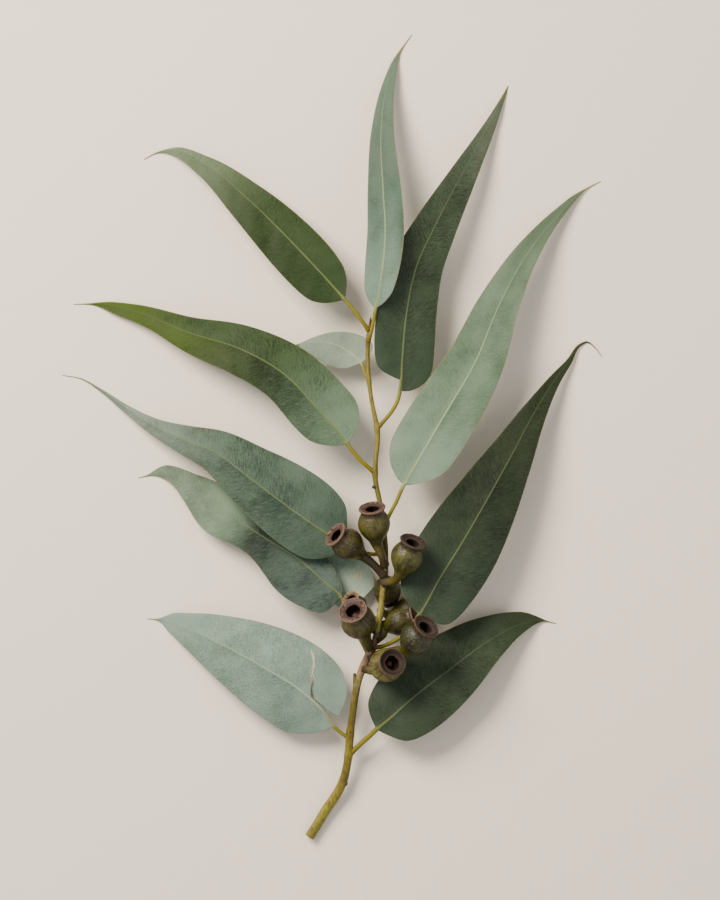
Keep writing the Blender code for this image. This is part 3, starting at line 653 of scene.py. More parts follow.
@dataclass(frozen=True)
class PaintedPlaster:
    """Pale warm plaster, matt and plain, that gives the eye a calm ground with soft shadows."""

    colour: str = "#e2d8ca"
    grain_size: float = 2.5
    relief_depth: float = 0.1

    def material(self, name: str) -> bpy.types.Material:
        """Build the finish.

        Args:
            name: The material's name.

        Returns:
            The material.
        """
        graph = Graph(name)
        place = graph.add("TexCoord", out="Object")
        scale = PER_METRE / self.grain_size
        grain = graph.add("TexNoise", {"Vector": place, "Scale": scale, "Detail": 2.0})
        roughness = graph.add("MapRange", {0: grain, 1: 0.0, 2: 1.0, 3: 0.85, 4: 0.95})
        distance = self.relief_depth * MM
        normal = graph.add("Bump", {"Height": grain, "Strength": 0.1, "Distance": distance})
        colour = to_linear(self.colour)
        return graph.finish(None, roughness, normal, Base_Color=colour, Specular_IOR_Level=0.2)


@dataclass(frozen=True)
class Route:
    """A smooth line through points, read by its share of the chord length."""

    points: tuple[tuple[float, ...], ...]

    def reach(self) -> np.ndarray:
        """Chord length from the first point to each point."""
        knots = np.array(self.points)[:, :3]
        return np.concatenate([[0.0], np.cumsum(np.linalg.norm(np.diff(knots, axis=0), axis=1))])

    def length(self) -> float:
        """Whole chord length."""
        return float(self.reach()[-1])

    def at(self, share: np.ndarray) -> np.ndarray:
        """Read the line: a cubic between each two points, with a slope at each from its neighbours.

        Args:
            share: Places from 0 to 1.

        Returns:
            One row of coordinates, and of any further values of the points, for each place.
        """
        knots = np.array(self.points, dtype=float)
        reach = self.reach()
        slopes = np.gradient(knots, reach, axis=0)
        places = np.asarray(share) * reach[-1]
        span = np.clip(np.searchsorted(reach, places, side="right") - 1, 0, len(reach) - 2)
        width = np.diff(reach)[span][:, None]
        u = (places - reach[span])[:, None] / width
        start = (2 * u**3 - 3 * u**2 + 1) * knots[span]
        start = start + (u**3 - 2 * u**2 + u) * width * slopes[span]
        end = (3 * u**2 - 2 * u**3) * knots[span + 1]
        end = end + (u**3 - u**2) * width * slopes[span + 1]
        return start + end

    def tangent(self, share: np.ndarray, step: float = 0.001) -> np.ndarray:
        """Unit direction of the line at each place.

        Args:
            share: Places from 0 to 1.
            step: How far ahead and behind to look; a long step smooths bends out.

        Returns:
            One unit vector for each place.
        """
        ahead = self.at(np.clip(share + step, 0.0, 1.0))[:, :3]
        behind = self.at(np.clip(share - step, 0.0, 1.0))[:, :3]
        return (ahead - behind) / np.linalg.norm(ahead - behind, axis=1)[:, None]


def square_to(tangent: np.ndarray) -> tuple[np.ndarray, np.ndarray]:
    """Two unit vectors square to each tangent, the first as near to +Z as it can be.

    Args:
        tangent: Unit directions.

    Returns:
        Both vectors for each direction.
    """
    up = np.array([0.0, 0.0, 1.0])
    first = up - tangent * (tangent @ up)[:, None]
    first = first / np.linalg.norm(first, axis=1)[:, None]
    return first, np.cross(tangent, first)


@dataclass(frozen=True)
class Skin:
    """A closed skin: rings of points, one row each, the last column joined to the first.

    Each map holds a pair of values for every point, with one column more than the points, so that a
    value that grows round the ring has no seam.
    """

    points: np.ndarray
    maps: Maps

    def faces(self, offset: int) -> np.ndarray:
        """The quads between neighbouring rings.

        Args:
            offset: Index of the skin's first point in the mesh.

        Returns:
            Four indices for each quad, facing outwards.
        """
        rows, columns = self.points.shape[:2]
        row, column = np.meshgrid(np.arange(rows - 1), np.arange(columns), indexing="ij")
        following = (column + 1) % columns
        corners = (row * columns + column, row * columns + following)
        corners += ((row + 1) * columns + following, (row + 1) * columns + column)
        return offset + np.stack(corners, axis=-1).reshape(-1, 4)

    def caps(self, offset: int) -> list[list[int]]:
        """The two end faces.

        Args:
            offset: Index of the skin's first point in the mesh.

        Returns:
            The indices of both end rings, facing outwards.
        """
        rows, columns = self.points.shape[:2]
        first = offset + np.arange(columns)[::-1]
        last = offset + (rows - 1) * columns + np.arange(columns)
        return [first.tolist(), last.tolist()]

    def corners(self, name: str) -> np.ndarray:
        """A map's values at the corners of the quads and then of the caps, in face order.

        Args:
            name: The map's name.

        Returns:
            One pair for each corner.
        """
        values = self.maps[name]
        quads = np.stack(
            (values[:-1, :-1], values[:-1, 1:], values[1:, 1:], values[1:, :-1]), axis=2
        )
        return np.concatenate(
            [quads.reshape(-1, 2), values[0, :-1][::-1], values[-1, :-1]], axis=0
        )


def make_mesh(name: str, skins: Sequence[Skin]) -> bpy.types.Object:
    """Make one object from closed skins, with their maps as UV maps.

    Args:
        name: The object's name.
        skins: Skins in millimetres, all with the same maps.

    Returns:
        The object, at the origin, its mesh in metres.
    """
    points = []
    faces = []
    pairs = {key: [] for key in skins[0].maps}
    offset = 0
    for skin in skins:
        points.append(skin.points.reshape(-1, 3) * MM)
        faces += skin.faces(offset).tolist() + skin.caps(offset)
        for key, rows in pairs.items():
            rows.append(skin.corners(key))
        offset += skin.points.shape[0] * skin.points.shape[1]
    mesh = bpy.data.meshes.new(name)
    mesh.from_pydata(np.concatenate(points).tolist(), [], faces)
    for key, rows in pairs.items():
        layer = mesh.uv_layers.new(name=key)
        layer.uv.foreach_set("vector", np.concatenate(rows).astype(np.float32).ravel())
    mesh.shade_smooth()
    made = bpy.data.objects.new(name, mesh)
    bpy.context.scene.collection.objects.link(made)
    return made


def place_piece(piece: bpy.types.Object, node: str, slot: Slot) -> None:
    """Put a piece on the branch's body in place of its CAD node.

    Args:
        piece: The finished piece.
        node: The node that it replaces.
        slot: Not used.
    """
    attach(piece, "root")
    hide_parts(node)
    LOG.info("%s: %d faces in place of %s", piece.name, len(piece.data.polygons), node)


@dataclass(frozen=True)
class Half:
    """One half of a blade, from the midrib to the margin.

    width is its widest half width and widest_at where that is, taper how drawn out its tip is,
    rounding the share that its base curves in over, sweep how far the base turns back in degrees,
    and ripple an in and out wave of the margin with a crest at ripple_at. This half begins at the
    share start, and its last share, point, draws in to a hair.
    """

    width: float
    widest_at: float
    taper: float
    rounding: float = 0.10
    sweep: float = 0.0
    ripple: float = 0.0
    ripple_at: float = 0.5
    start: float = 0.0
    point: float = 0.0
    ripple_length: float = 0.44
    hair_share: float = 0.15

    def reach(self, t: np.ndarray) -> np.ndarray:
        """Half width: a power of t up to the widest place and a power of 1 - t after it.

        A quarter of an ellipse rounds the base, a cosine gives the ripple, and a smooth step draws
        the tip in.

        Args:
            t: Share of the blade from base to tip.

        Returns:
            Half width in millimetres.
        """
        hair = smoothstep(t, 1.0 - self.point, 1.0 - self.hair_share * self.point + TINY)
        t = np.clip((t - self.start) / (1.0 - self.start), 0.0, 1.0)
        base = self.taper * self.widest_at / (1.0 - self.widest_at)
        rise = (t / self.widest_at) ** base
        fall = ((1.0 - t) / (1.0 - self.widest_at)) ** self.taper
        corner = np.sqrt(1.0 - (1.0 - np.minimum(t / self.rounding, 1.0)) ** 2)
        phase = 2.0 * math.pi * (t - self.ripple_at) / self.ripple_length
        ripple = self.ripple * np.cos(phase) * np.sqrt(np.abs(np.sin(math.pi * t)))
        return (self.width * rise * fall + ripple) * corner * (1.0 - hair)


@dataclass
class Leaf:
    """One leaf: a petiole that widens into a thin blade along a curved midrib.

    roll tips the blade over its midrib in degrees, fold lifts both halves into a shallow trough,
    droop lowers the margins, and wave and waves are the height and the number of the ups and downs
    along them. heading_step is how far ahead and behind the blade looks to smooth its bends.
    """

    node: str
    petiole: tuple[Point, ...]
    midrib: tuple[Point, ...]
    left: Half
    right: Half
    roll: float
    fold: float
    droop: float
    wave: float
    waves: float
    petiole_radius: float
    finish: WaxyLeaf
    slot: Slot
    seed: int = 1

    blade_rings: int = 130
    petiole_rings: int = 20
    ribs: int = 41
    heading_step: float = 0.05
    half_thickness: float = 0.24
    edge_thickness: float = 0.13
    tip_thickness: float = 0.12
    rib_tip_radius: float = 0.18
    rib_taper: float = 0.6
    rib_spread: float = 1.5
    rib_top_share: float = 0.3
    fold_softness: float = 2.5
    wave_lag: float = 0.25
    sweep_reach: float = 0.3
    full_thickness_width: float = 3.0
    crowding: float = 0.13
    cushion: float = 0.22
    cushion_lengths: tuple[float, ...] = (31.0, 19.0, 12.0, 8.0)
    joint_share: float = 0.3
    joint_length: float = 3.2

    def skin(self) -> Skin:
        """Work out the leaf's skin, each ring left to right over the top and back underneath.

        A petiole ring is round. On the blade a ring is drawn out to both margins. Its height is
        the midrib's, plus roll times the way out, plus fold times the way out with its corner
        rounded, less droop times the square of the way out, plus a sine wave that grows towards the
        margin. Thickness falls to the edges, and a bell-shaped bulge underneath is the midrib.

        Returns:
            The closed skin with its maps.
        """
        route = Route(self.petiole + self.midrib)
        stalk = Route(self.petiole + self.midrib[:1]).length() / route.length()
        on_stalk = np.linspace(0.0, stalk, self.petiole_rings, endpoint=False)
        on_blade = 0.5 - 0.5 * np.cos(np.linspace(0.0, math.pi, self.blade_rings + 1))
        places = np.concatenate([on_stalk, stalk + (1.0 - stalk) * on_blade])
        centre = route.at(places)
        heading = route.tangent(places, self.heading_step)[:, :2]
        heading = heading / np.linalg.norm(heading, axis=1)[:, None]
        t = np.clip((places - stalk) / (1.0 - stalk), 0.0, 1.0)[:, None]

        # Columns crowd towards the midrib and the margins
        spaced = np.linspace(-1.0, 1.0, self.ribs)
        spaced = spaced - self.crowding * np.sin(2.0 * math.pi * spaced)
        across = np.concatenate([spaced, spaced[::-1]])[None, :]
        turn = math.pi - (np.arange(2 * self.ribs) + 0.5) * math.pi / self.ribs
        top = np.sin(turn)[None, :] > 0.0
        reach = np.where(across < 0.0, self.left.reach(t), self.right.reach(t))
        joint = self.joint_swelling(places * route.length())
        rib = self.petiole_radius * joint[:, None]
        rib = rib + (self.rib_tip_radius - self.petiole_radius) * t**self.rib_taper

        out = across * reach
        widest = max(self.left.width, self.right.width)
        flatness = smoothstep(reach, 0.0, self.full_thickness_width)
        waving = np.sin(2.0 * math.pi * (self.waves * t + self.wave_lag * across))
        along = (places[:, None] - stalk) * route.length()
        height = centre[:, 2:3] + math.tan(math.radians(self.roll)) * out
        height = height + self.fold * (np.hypot(out, self.fold_softness) - self.fold_softness)
        height = height - self.droop * (out / widest) ** 2
        height = height + self.wave * across**2 * (reach / widest) * waving
        height = height + flatness * self.puckers(out, along)

        thinning = (self.tip_thickness - self.half_thickness) * t**8
        edge = self.half_thickness + thinning
        thinning = self.edge_thickness - self.half_thickness
        edge = edge + thinning * np.abs(across) ** 6 * (1.0 - t**8)
        edge = edge * flatness
        bulge = rib * np.abs(np.sin(turn))[None, :] * np.exp(-((out / self.rib_spread) ** 2))
        upper = edge + bulge * (1.0 - (1.0 - self.rib_top_share) * flatness)
        lower = edge + bulge
        height = np.maximum(height, lower)
        height = np.where(top, height + upper, height - lower)

        sweep = np.where(across < 0.0, self.left.sweep, self.right.sweep)
        sweep = np.radians(sweep * (1.0 - smoothstep(t, 0.0, self.sweep_reach)))
        sideways = (out + rib * np.cos(turn)[None, :]) * np.cos(sweep)
        backwards = np.abs(out) * np.sin(sweep)
        x = centre[:, 0:1] + sideways * heading[:, 1:2] - backwards * heading[:, 0:1]
        y = centre[:, 1:2] - sideways * heading[:, 0:1] - backwards * heading[:, 1:2]
        points = np.stack([x, y, height], axis=-1)

        way = np.where(places[:, None] < stalk, places[:, None] / stalk - 1.0, t)
        shape = points.shape[:2]
        maps = {
            "blade_mm": pair(out, along, shape),
            "blade_share": pair(across, way, shape),
            "blade_edge": pair((1.0 - np.abs(across)) * reach, np.where(top, 0.0, 1.0), shape),
            "blade_torn": pair(*self.torn(points), shape),
        }
        maps = {key: np.concatenate([rows, rows[:, :1]], axis=1) for key, rows in maps.items()}
        return Skin(points, maps)

    def joint_swelling(self, distance: np.ndarray) -> np.ndarray:
        """How much thicker the petiole is where it leaves the stem: a bell curve of the distance.

        Args:
            distance: Way from the stem's centre line.

        Returns:
            A factor that falls to 1.
        """
        return 1.0 + self.joint_share * np.exp(-((distance / self.joint_length) ** 2))

    def puckers(self, out: np.ndarray, along: np.ndarray) -> np.ndarray:
        """Shallow cushions of the blade between its side veins: a few sine waves added up.

        Args:
            out: Way out from the midrib.
            along: Way along the midrib.

        Returns:
            Height to add.
        """
        random = np.random.default_rng(self.seed)
        height = np.zeros(np.broadcast_shapes(out.shape, along.shape))
        for length in self.cushion_lengths:
            angle, phase = random.uniform(0.0, 2.0 * math.pi, 2)
            waves = math.cos(angle) * along + math.sin(angle) * np.abs(out)
            share = length / self.cushion_lengths[0]
            height += np.sin(2.0 * math.pi * waves / length + phase) * share
        return self.cushion * height

    def torn(self, points: np.ndarray) -> tuple[np.ndarray, np.ndarray]:
        """How brown each point is from a tear, and how much painted light of the slit it has. A
        whole leaf has none.

        Args:
            points: The skin's points.

        Returns:
            Zero everywhere, twice.
        """
        return np.zeros(points.shape[:2]), np.zeros(points.shape[:2])

    def build(self) -> bpy.types.Object:
        """Make the leaf, dress it and put it in its place.

        Returns:
            The leaf.
        """
        leaf = make_mesh(self.node + "_blade", [self.skin()])
        self.cut(leaf)
        leaf.data.materials.append(self.finish.material(self.node + "_wax"))
        place_piece(leaf, self.node, self.slot)
        return leaf

    def cut(self, leaf: bpy.types.Object) -> None:
        """Cut what is torn out of the leaf. A whole leaf keeps all."""


@dataclass
class TornLeaf(Leaf):
    """A leaf with a ragged slit in its blade, which runs from a gap beside its petiole.

    tear is the slit's outline in plan. Its painted light, a pale band along the slit as if bright
    floor showed through, fades in over slit_light_fade from the Y slit_light_from, and its brown
    rises from dried_least to full over dried_fade up to the Y dried_from.
    """

    tear: tuple[tuple[float, float], ...] = ()
    dried_share: float = 0.6
    dried_least: float = 0.35
    dried_width: float = 0.5
    dried_from: float = -131.0
    dried_fade: float = 3.0
    slit_light_width: float = 0.26
    # Width, start and fade of the painted light along the slit
    slit_light_from: float = -124.0
    slit_light_fade: float = 4.0
    cutter_height: float = 60.0

    def torn(self, points: np.ndarray) -> tuple[np.ndarray, np.ndarray]:
        """How brown each point is and how much painted light of the slit it has: bell curves of the
        distance to the tear.

        Both fade out down the slit, first the painted light, then the brown.

        Args:
            points: The skin's points.

        Returns:
            Both shares, highest on the outline of the tear and falling to 0 away from it.
        """
        start = np.array(self.tear)
        way = np.roll(start, -1, axis=0) - start
        offset = points[:, :, None, :2] - start
        share = np.clip((offset * way).sum(-1) / (way**2).sum(-1), 0.0, 1.0)
        distance = np.linalg.norm(offset - share[..., None] * way, axis=-1).min(axis=-1)
        y = points[:, :, 1]
        brown = self.dried_share * np.exp(-((distance / self.dried_width) ** 2))
        full = smoothstep(y, self.dried_from - self.dried_fade, self.dried_from)
        brown = brown * (self.dried_least + (1.0 - self.dried_least) * full)
        # Painted light along the slit, as if bright floor showed through it
        lit_slit = np.exp(-((distance / self.slit_light_width) ** 2))
        lit_slit = lit_slit * smoothstep(y, self.slit_light_from, self.slit_light_from + self.slit_light_fade)
        return brown, lit_slit

    def cut(self, leaf: bpy.types.Object) -> None:
        """Cut the tear with an upright prism on its outline.

        Args:
            leaf: The whole leaf.
        """
        outline = np.array(self.tear)
        following = np.roll(outline, -1, axis=0)
        area = (outline[:, 0] * following[:, 1] - outline[:, 1] * following[:, 0]).sum()
        outline = outline if area > 0.0 else outline[::-1]
        heights = np.array([-0.5, 0.5]) * self.cutter_height
        rings = np.stack([np.column_stack([outline, np.full(len(outline), h)]) for h in heights])
        dried = np.ones((2, len(outline) + 1, 2))
        maps = {layer.name: dried for layer in leaf.data.uv_layers}
        prism = make_mesh("tear_cutter", [Skin(rings, maps)])
        modifier = leaf.modifiers.new("tear", "BOOLEAN")
        modifier.operation = "DIFFERENCE"
        modifier.solver = "EXACT"
        modifier.object = prism
        bpy.context.view_layer.update()
        evaluated = leaf.evaluated_get(bpy.context.evaluated_depsgraph_get())
        mesh = bpy.data.meshes.new_from_object(evaluated)
        leaf.modifiers.clear()
        leaf.data = mesh
        bpy.data.objects.remove(prism, do_unlink=True)


@dataclass(frozen=True)
class Swelling:
    """A thickening of the stem at a joint: place along the stem in Y, extra radius and length."""

    y: float
    extra: float
    length: float


@dataclass(frozen=True)
class Spur:
    """A short peg on the stem: a bud, a leaf scar or the stub of a twig."""

    kind: Peg
    start: Point
    end: Point
    start_radius: float
    end_radius: float


@dataclass
class Stem:
    """The woody stem with its joints, buds and scars.

    A point of the route has the stem's radius as its fourth value. The sawn end is closed by
    cut_rings from cut_middle of its radius outwards, over which the mark of sawn wood falls by
    sawn_fall, and by a bevel. A spur is rounded from the share spur_round_from on, and reaches past
    its end by spur_overhang end radii.
    """

    route: Route
    swellings: tuple[Swelling, ...]
    spurs: tuple[Spur, ...]
    finish: YoungBark = field(default_factory=YoungBark)
    node: str = "main_stem"
    rings: int = 420
    sides: int = 28
    spur_rings: int = 14
    bark_wobble: float = 0.0225
    wobble_lengths: tuple[float, float] = (2.3, 5.1)
    tip_from: float = 0.996
    tip_narrowing: float = 0.85
    cut_rings: int = 7
    cut_middle: float = 0.04
    sawn_fall: float = 0.85
    bevel_radius: float = 0.985
    bevel_length: float = 0.06
    bevel_sawn: float = 0.06
    spur_round_from: float = 0.6
    spur_least: float = 0.02
    spur_overhang: float = 0.8
    spur_dry_over: tuple[float, float] = (0.2, 0.8)

    def tube(
        self, centre: np.ndarray, tangent: np.ndarray, radius: np.ndarray, maps: Maps
    ) -> Skin:
        """Carry a circle along a line, its radius given for each ring and column, above the floor.

        Args:
            centre: The line's points.
            tangent: Its unit directions.
            radius: Rings by columns.
            maps: Pairs for the rings.

        Returns:
            The closed skin.
        """
        turn = np.linspace(0.0, 2.0 * math.pi, self.sides, endpoint=False)[None, :, None]
        first, second = square_to(tangent)
        ring = np.cos(turn) * first[:, None] + np.sin(turn) * second[:, None]
        points = centre[:, None] + radius[..., None] * ring
        points[..., 2] = np.maximum(points[..., 2], 0.0)
        return Skin(points, maps)

    def stem_skin(self) -> Skin:
        """The stem itself: the route's radius plus a bell curve for each swelling and fine wobble.

        The first rings close the sawn end: they shrink to the middle of the cut in its own plane,
        and the last of them makes a fine bevel.

        Returns:
            The skin with its maps.
        """
        share = np.linspace(0.0, 1.0, self.rings)
        rows = self.route.at(share)
        tangent = self.route.tangent(share)
        radius = rows[:, 3]
        for swelling in self.swellings:
            bell = np.exp(-(((rows[:, 1] - swelling.y) / swelling.length) ** 2))
            radius = radius + swelling.extra * bell
        turn = np.linspace(0.0, 2.0 * math.pi, self.sides, endpoint=False)
        along = share * self.route.length()
        short, long = self.wobble_lengths
        wobble = np.sin(along[:, None] / short + 3.0 * turn)
        wobble = wobble + np.sin(along[:, None] / long + 2.0 * turn)
        radius = radius[:, None] * (1.0 + self.bark_wobble * wobble)
        narrowing = self.tip_narrowing * smoothstep(share, self.tip_from, 1.0)
        radius = radius * (1.0 - narrowing)[:, None]

        cut = np.linspace(self.cut_middle, 1.0, self.cut_rings, endpoint=False)
        added = self.cut_rings + 1
        bevel = radius[:1] * self.bevel_radius
        radius = np.concatenate([radius[:1] * cut[:, None], bevel, radius])
        centre = np.concatenate([np.repeat(rows[:1, :3], added, axis=0), rows[:, :3]])
        centre[added] += self.bevel_length * tangent[0]
        tangent = np.concatenate([np.repeat(tangent[:1], added, axis=0), tangent])
        share = np.concatenate([np.zeros(added), share])
        sawn = (1.0 - self.sawn_fall * cut, [self.bevel_sawn], np.zeros(self.rings))
        sawn = np.concatenate(sawn)
        around = np.linspace(0.0, 1.0, self.sides + 1)
        shape = (len(share), self.sides + 1)
        maps = {
            "stem_share": pair(around[None, :], share[:, None], shape),
            "stem_mark": pair(np.zeros(shape), sawn[:, None], shape),
        }
        return self.tube(centre, tangent, radius, maps)

    def spur_skin(self, spur: Spur) -> Skin:
        """A spur: a cone from its start to its end, with a half round tip and a tapered root.

        Args:
            spur: The spur.

        Returns:
            The skin with its maps.
        """
        start = np.array(spur.start)
        end = np.array(spur.end)
        length = float(np.linalg.norm(end - start))
        along = (end - start) / length
        share = np.linspace(0.0, 1.0, self.spur_rings)
        tip = 1.0 - smoothstep(share, self.spur_round_from, 1.0) ** 2
        tip = np.sqrt(np.clip(tip, self.spur_least, 1.0))
        radius = (spur.start_radius + (spur.end_radius - spur.start_radius) * share) * tip
        overhang = self.spur_overhang * spur.end_radius
        centre = start + along * (share * (length + overhang))[:, None]
        nearest = np.abs(np.array([p[1] for p in self.route.points]) - spur.start[1]).argmin()
        way = self.route.reach()[nearest] / self.route.length()
        shape = (self.spur_rings, self.sides + 1)
        dry = spur.kind.value * smoothstep(share, *self.spur_dry_over)
        maps = {
            "stem_share": pair(np.zeros(shape), np.full(shape, way), shape),
            "stem_mark": pair(dry[:, None], np.zeros(shape), shape),
        }
        tangent = np.repeat(along[None, :], self.spur_rings, axis=0)
        widths = np.repeat(radius[:, None], self.sides, axis=1)
        return self.tube(centre, tangent, widths, maps)

    def build(self) -> bpy.types.Object:
        """Make the stem, dress it and put it in its place.

        Returns:
            The stem.
        """
        skins = [self.stem_skin()] + [self.spur_skin(spur) for spur in self.spurs]
        stem = make_mesh("stem", skins)
        stem.data.materials.append(self.finish.material("young_bark"))
        place_piece(stem, self.node, Slot.BARK)
        return stem


@dataclass
class GumNut:
    """A gum nut: a hollow urn, turned about its axis, that narrows into a stalk to the stem.

    belly is the middle of the urn. heading is the way its mouth faces in plan, in degrees from +X,
    and tilt how far it leans from +Z. size scales the profile, which is radius and height from the
    middle of the hollow over the rim to the funnel. sunk is how far the rim dips to the mouth.
    """

    node: str
    belly: Point
    heading: float
    tilt: float
    size: float
    stalk: tuple[Point, ...]
    finish: WoodyCapsule
    sunk: float = 0.3
    seed: int = 1

    profile: tuple[tuple[float, float], ...] = (
        (0.05, -3.6), (0.9, -4.0), (1.7, -5.4), (3.0, -6.6), (4.2, -6.2), (4.7, -5.0), (4.5, -3.6),
        (4.0, -2.4), (3.6, -1.6), (3.4, -1.1), (3.5, -0.75), (3.9, -0.45), (4.6, -0.25),
        (5.3, -0.14), (5.9, -0.05), (6.35, 0.03), (6.66, 0.0), (6.84, -0.25), (6.86, -0.6),
        (6.66, -1.0), (6.3, -1.4), (6.02, -2.0), (5.95, -2.7), (6.1, -3.5), (6.6, -4.4),
        (7.2, -5.5), (7.75, -6.8), (8.1, -8.4), (8.12, -9.8), (7.85, -11.2), (7.3, -12.8),
        (6.6, -14.2), (5.8, -15.4), (5.0, -16.6),
    )
    belly_below_rim: float = 9.0
    stalk_from: float = 17.0
    funnel_end: float = 19.5
    stalk_radius: float = 1.95
    urn_rings: int = 150
    stalk_rings: int = 60
    sides: int = 72
    least_radius: float = 0.05
    rim_radii: tuple[float, float] = (6.5, 3.0)
    rim_levels: tuple[float, float] = (-1.2, -0.3)
    mouth_radius: float = 3.6
    mouth_width: float = 0.7
    mouth_levels: tuple[float, float] = (-1.6, -0.6)
    mouth_raggedness: float = 0.17
    mouth_rings: int = 8
    mouth_seed: int = 100
    lip_radius: float = 6.8
    lip_width: float = 0.35
    lip_levels: tuple[float, float] = (-1.3, -0.4)
    lip_raggedness: float = 0.1
    funnel_share: float = 0.93
    funnel_fade: float = 3.6
    foot_swelling: float = 0.2
    foot_length: float = 2.5
    roundness_error: float = 0.0108

    def axis(self) -> np.ndarray:
        """Unit vector from the funnel to the mouth, from the heading in plan and the tilt."""
        heading = math.radians(self.heading)
        tilt = math.radians(self.tilt)
        flat = math.sin(tilt)
        return np.array([flat * math.cos(heading), flat * math.sin(heading), math.cos(tilt)])

    def skin(self) -> Skin:
        """Work out the nut's skin from the middle of its hollow, over the rim, to the stem.

        On the urn, ring radius and height are the profile's, and the radius wanders by a few
        sines of the turn. Down the stalk, rings are carried along the route, and the radius falls
        from the urn's to the stalk's by an exponential.

        Returns:
            The closed skin with its maps.
        """
        axis = self.axis()
        rim = np.array(self.belly) + axis * self.belly_below_rim * self.size
        outline = Route(tuple((r, z, 0.0) for r, z in self.profile))
        rows = outline.at(np.linspace(0.0, 1.0, self.urn_rings))
        radius = np.maximum(rows[:, 0], self.least_radius)
        dip = smoothstep(radius, *self.rim_radii) * smoothstep(rows[:, 1], *self.rim_levels)
        height = rows[:, 1] - self.sunk * dip

        start = rim - axis * self.stalk_from * self.size
        end = rim - axis * self.funnel_end * self.size
        route = Route((tuple(start), tuple(end)) + self.stalk)
        share = np.linspace(0.0, 1.0, self.stalk_rings + 1)[1:]
        way = share * route.length()
        thin = self.stalk_radius * math.sqrt(self.size)
        fall = np.exp(-way / (self.funnel_fade * self.size))
        thick = thin + (radius[-1] * self.size * self.funnel_share - thin) * fall
        foot = np.exp(-(((route.length() - way) / self.foot_length) ** 2))
        thick = thick * (1.0 + self.foot_swelling * foot)

        side = np.cross(axis, np.array(self.stalk[-1]) - start)
        side = side / np.linalg.norm(side)
        other = np.cross(side, axis)
        centre = np.concatenate([rim + axis * height[:, None] * self.size, route.at(share)])
        direction = -route.tangent(share)
        first = side - direction * (direction @ side)[:, None]
        first = first / np.linalg.norm(first, axis=1)[:, None]
        first = np.concatenate([np.repeat(side[None, :], self.urn_rings, axis=0), first])
        second = np.cross(first[self.urn_rings :], direction)
        second = np.concatenate([np.repeat(other[None, :], self.urn_rings, axis=0), second])

        turn = np.linspace(0.0, 2.0 * math.pi, self.sides + 1)[None, :]
        widths = np.concatenate([radius * self.size, thick])[:, None]
        widths = widths * (1.0 + self.unevenness(turn, np.concatenate([radius, thick])[:, None]))
        off_mouth = (radius - self.mouth_radius) / self.mouth_width
        mouth = self.ring_share(off_mouth, rows[:, 1], self.mouth_levels)
        widths = widths + self.size * mouth * self.raggedness(turn)
        off_lip = (radius - self.lip_radius) / self.lip_width
        lip = self.ring_share(off_lip, rows[:, 1], self.lip_levels)
        widths = widths + self.size * lip * self.lip_raggedness * self.lip_waver(turn)
        ring = np.cos(turn)[..., None] * first[:, None] + np.sin(turn)[..., None] * second[:, None]
        points = centre[:, None] + widths[..., None] * ring
        points = points[:, :-1]
        points[..., 2] = np.maximum(points[..., 2], 0.0)

        shape = (self.urn_rings + self.stalk_rings, self.sides + 1)
        radial = np.concatenate([radius, np.full(self.stalk_rings, radius[-1])])[:, None]
        depth = np.concatenate([-rows[:, 1], self.stalk_from + way])[:, None]
        hollow = 1.0 - smoothstep(self.past_mouth(rows[:, 1]), 0.0, 1.0)
        hollow = np.concatenate([hollow, np.zeros(self.stalk_rings)])[:, None]
        down = np.concatenate([np.zeros(self.urn_rings), share])[:, None]
        maps = {
            "nut_profile": pair(radial, depth, shape),
            "nut_turn": pair(np.cos(turn), np.sin(turn), shape),
            "nut_zone": pair(down, hollow, shape),
        }
        return Skin(points, maps)

    def ring_share(
        self, off: np.ndarray, level: np.ndarray, levels: tuple[float, float]
    ) -> np.ndarray:
        """How much each ring belongs to an edge: a bell curve of off, faded in over two levels.

        Args:
            off: How far each ring of the urn is off the edge, in half widths of the bell.
            level: The urn's heights.
            levels: Where it leaves 0 and where it is whole.

        Returns:
            A share for each ring of urn and stalk, 0 all down the stalk.
        """
        urn = np.exp(-(off**2)) * smoothstep(level, *levels)
        return np.concatenate([urn, np.zeros(self.stalk_rings)])[:, None]

    def past_mouth(self, level: np.ndarray) -> np.ndarray:
        """Tell the hollow from the outside: 0 inside, 1 from the edge of the mouth on.

        Args:
            level: The urn's heights, from the middle of the hollow outwards.

        Returns:
            The share for each ring of the urn.
        """
        edge = int(np.argmax(level > self.mouth_levels[1]))
        steps = np.arange(len(level)) - (edge - self.mouth_rings)
        return np.clip(steps / self.mouth_rings, 0.0, 1.0)

    def unevenness(self, turn: np.ndarray, radius: np.ndarray) -> np.ndarray:
        """How far a ring is from round: sines of two, three and five waves, shifted by the seed.

        Args:
            turn: Angle round the ring.
            radius: The ring's radius, which shifts the waves a little.

        Returns:
            Share of the radius to add.
        """
        phases = np.random.default_rng(self.seed).uniform(0.0, 2.0 * math.pi, 3)
        total = np.sin(2.0 * turn + phases[0]) + np.sin(3.0 * turn + phases[1] + 0.3 * radius)
        total = total + 0.5 * np.sin(5.0 * turn + phases[2] - 0.2 * radius)
        return self.roundness_error * total

    def raggedness(self, turn: np.ndarray) -> np.ndarray:
        """In and out of the mouth's edge: sines of four, seven and thirteen waves.

        Args:
            turn: Angle round the mouth.

        Returns:
            Millimetres to add to the radius.
        """
        phases = np.random.default_rng(self.seed + self.mouth_seed).uniform(0.0, 2.0 * math.pi, 3)
        total = np.sin(4.0 * turn + phases[0]) + 0.7 * np.sin(7.0 * turn + phases[1])
        total = total + 0.4 * np.sin(13.0 * turn + phases[2])
        return self.mouth_raggedness * total

    def lip_waver(self, turn: np.ndarray) -> np.ndarray:
        """In and out of the lip: a sine of eleven waves, themselves shifted by a sine of three.

        Args:
            turn: Angle round the lip.

        Returns:
            Values from -1 to 1.
        """
        return np.sin(11.0 * turn + 2.0 * np.sin(3.0 * turn + self.seed))

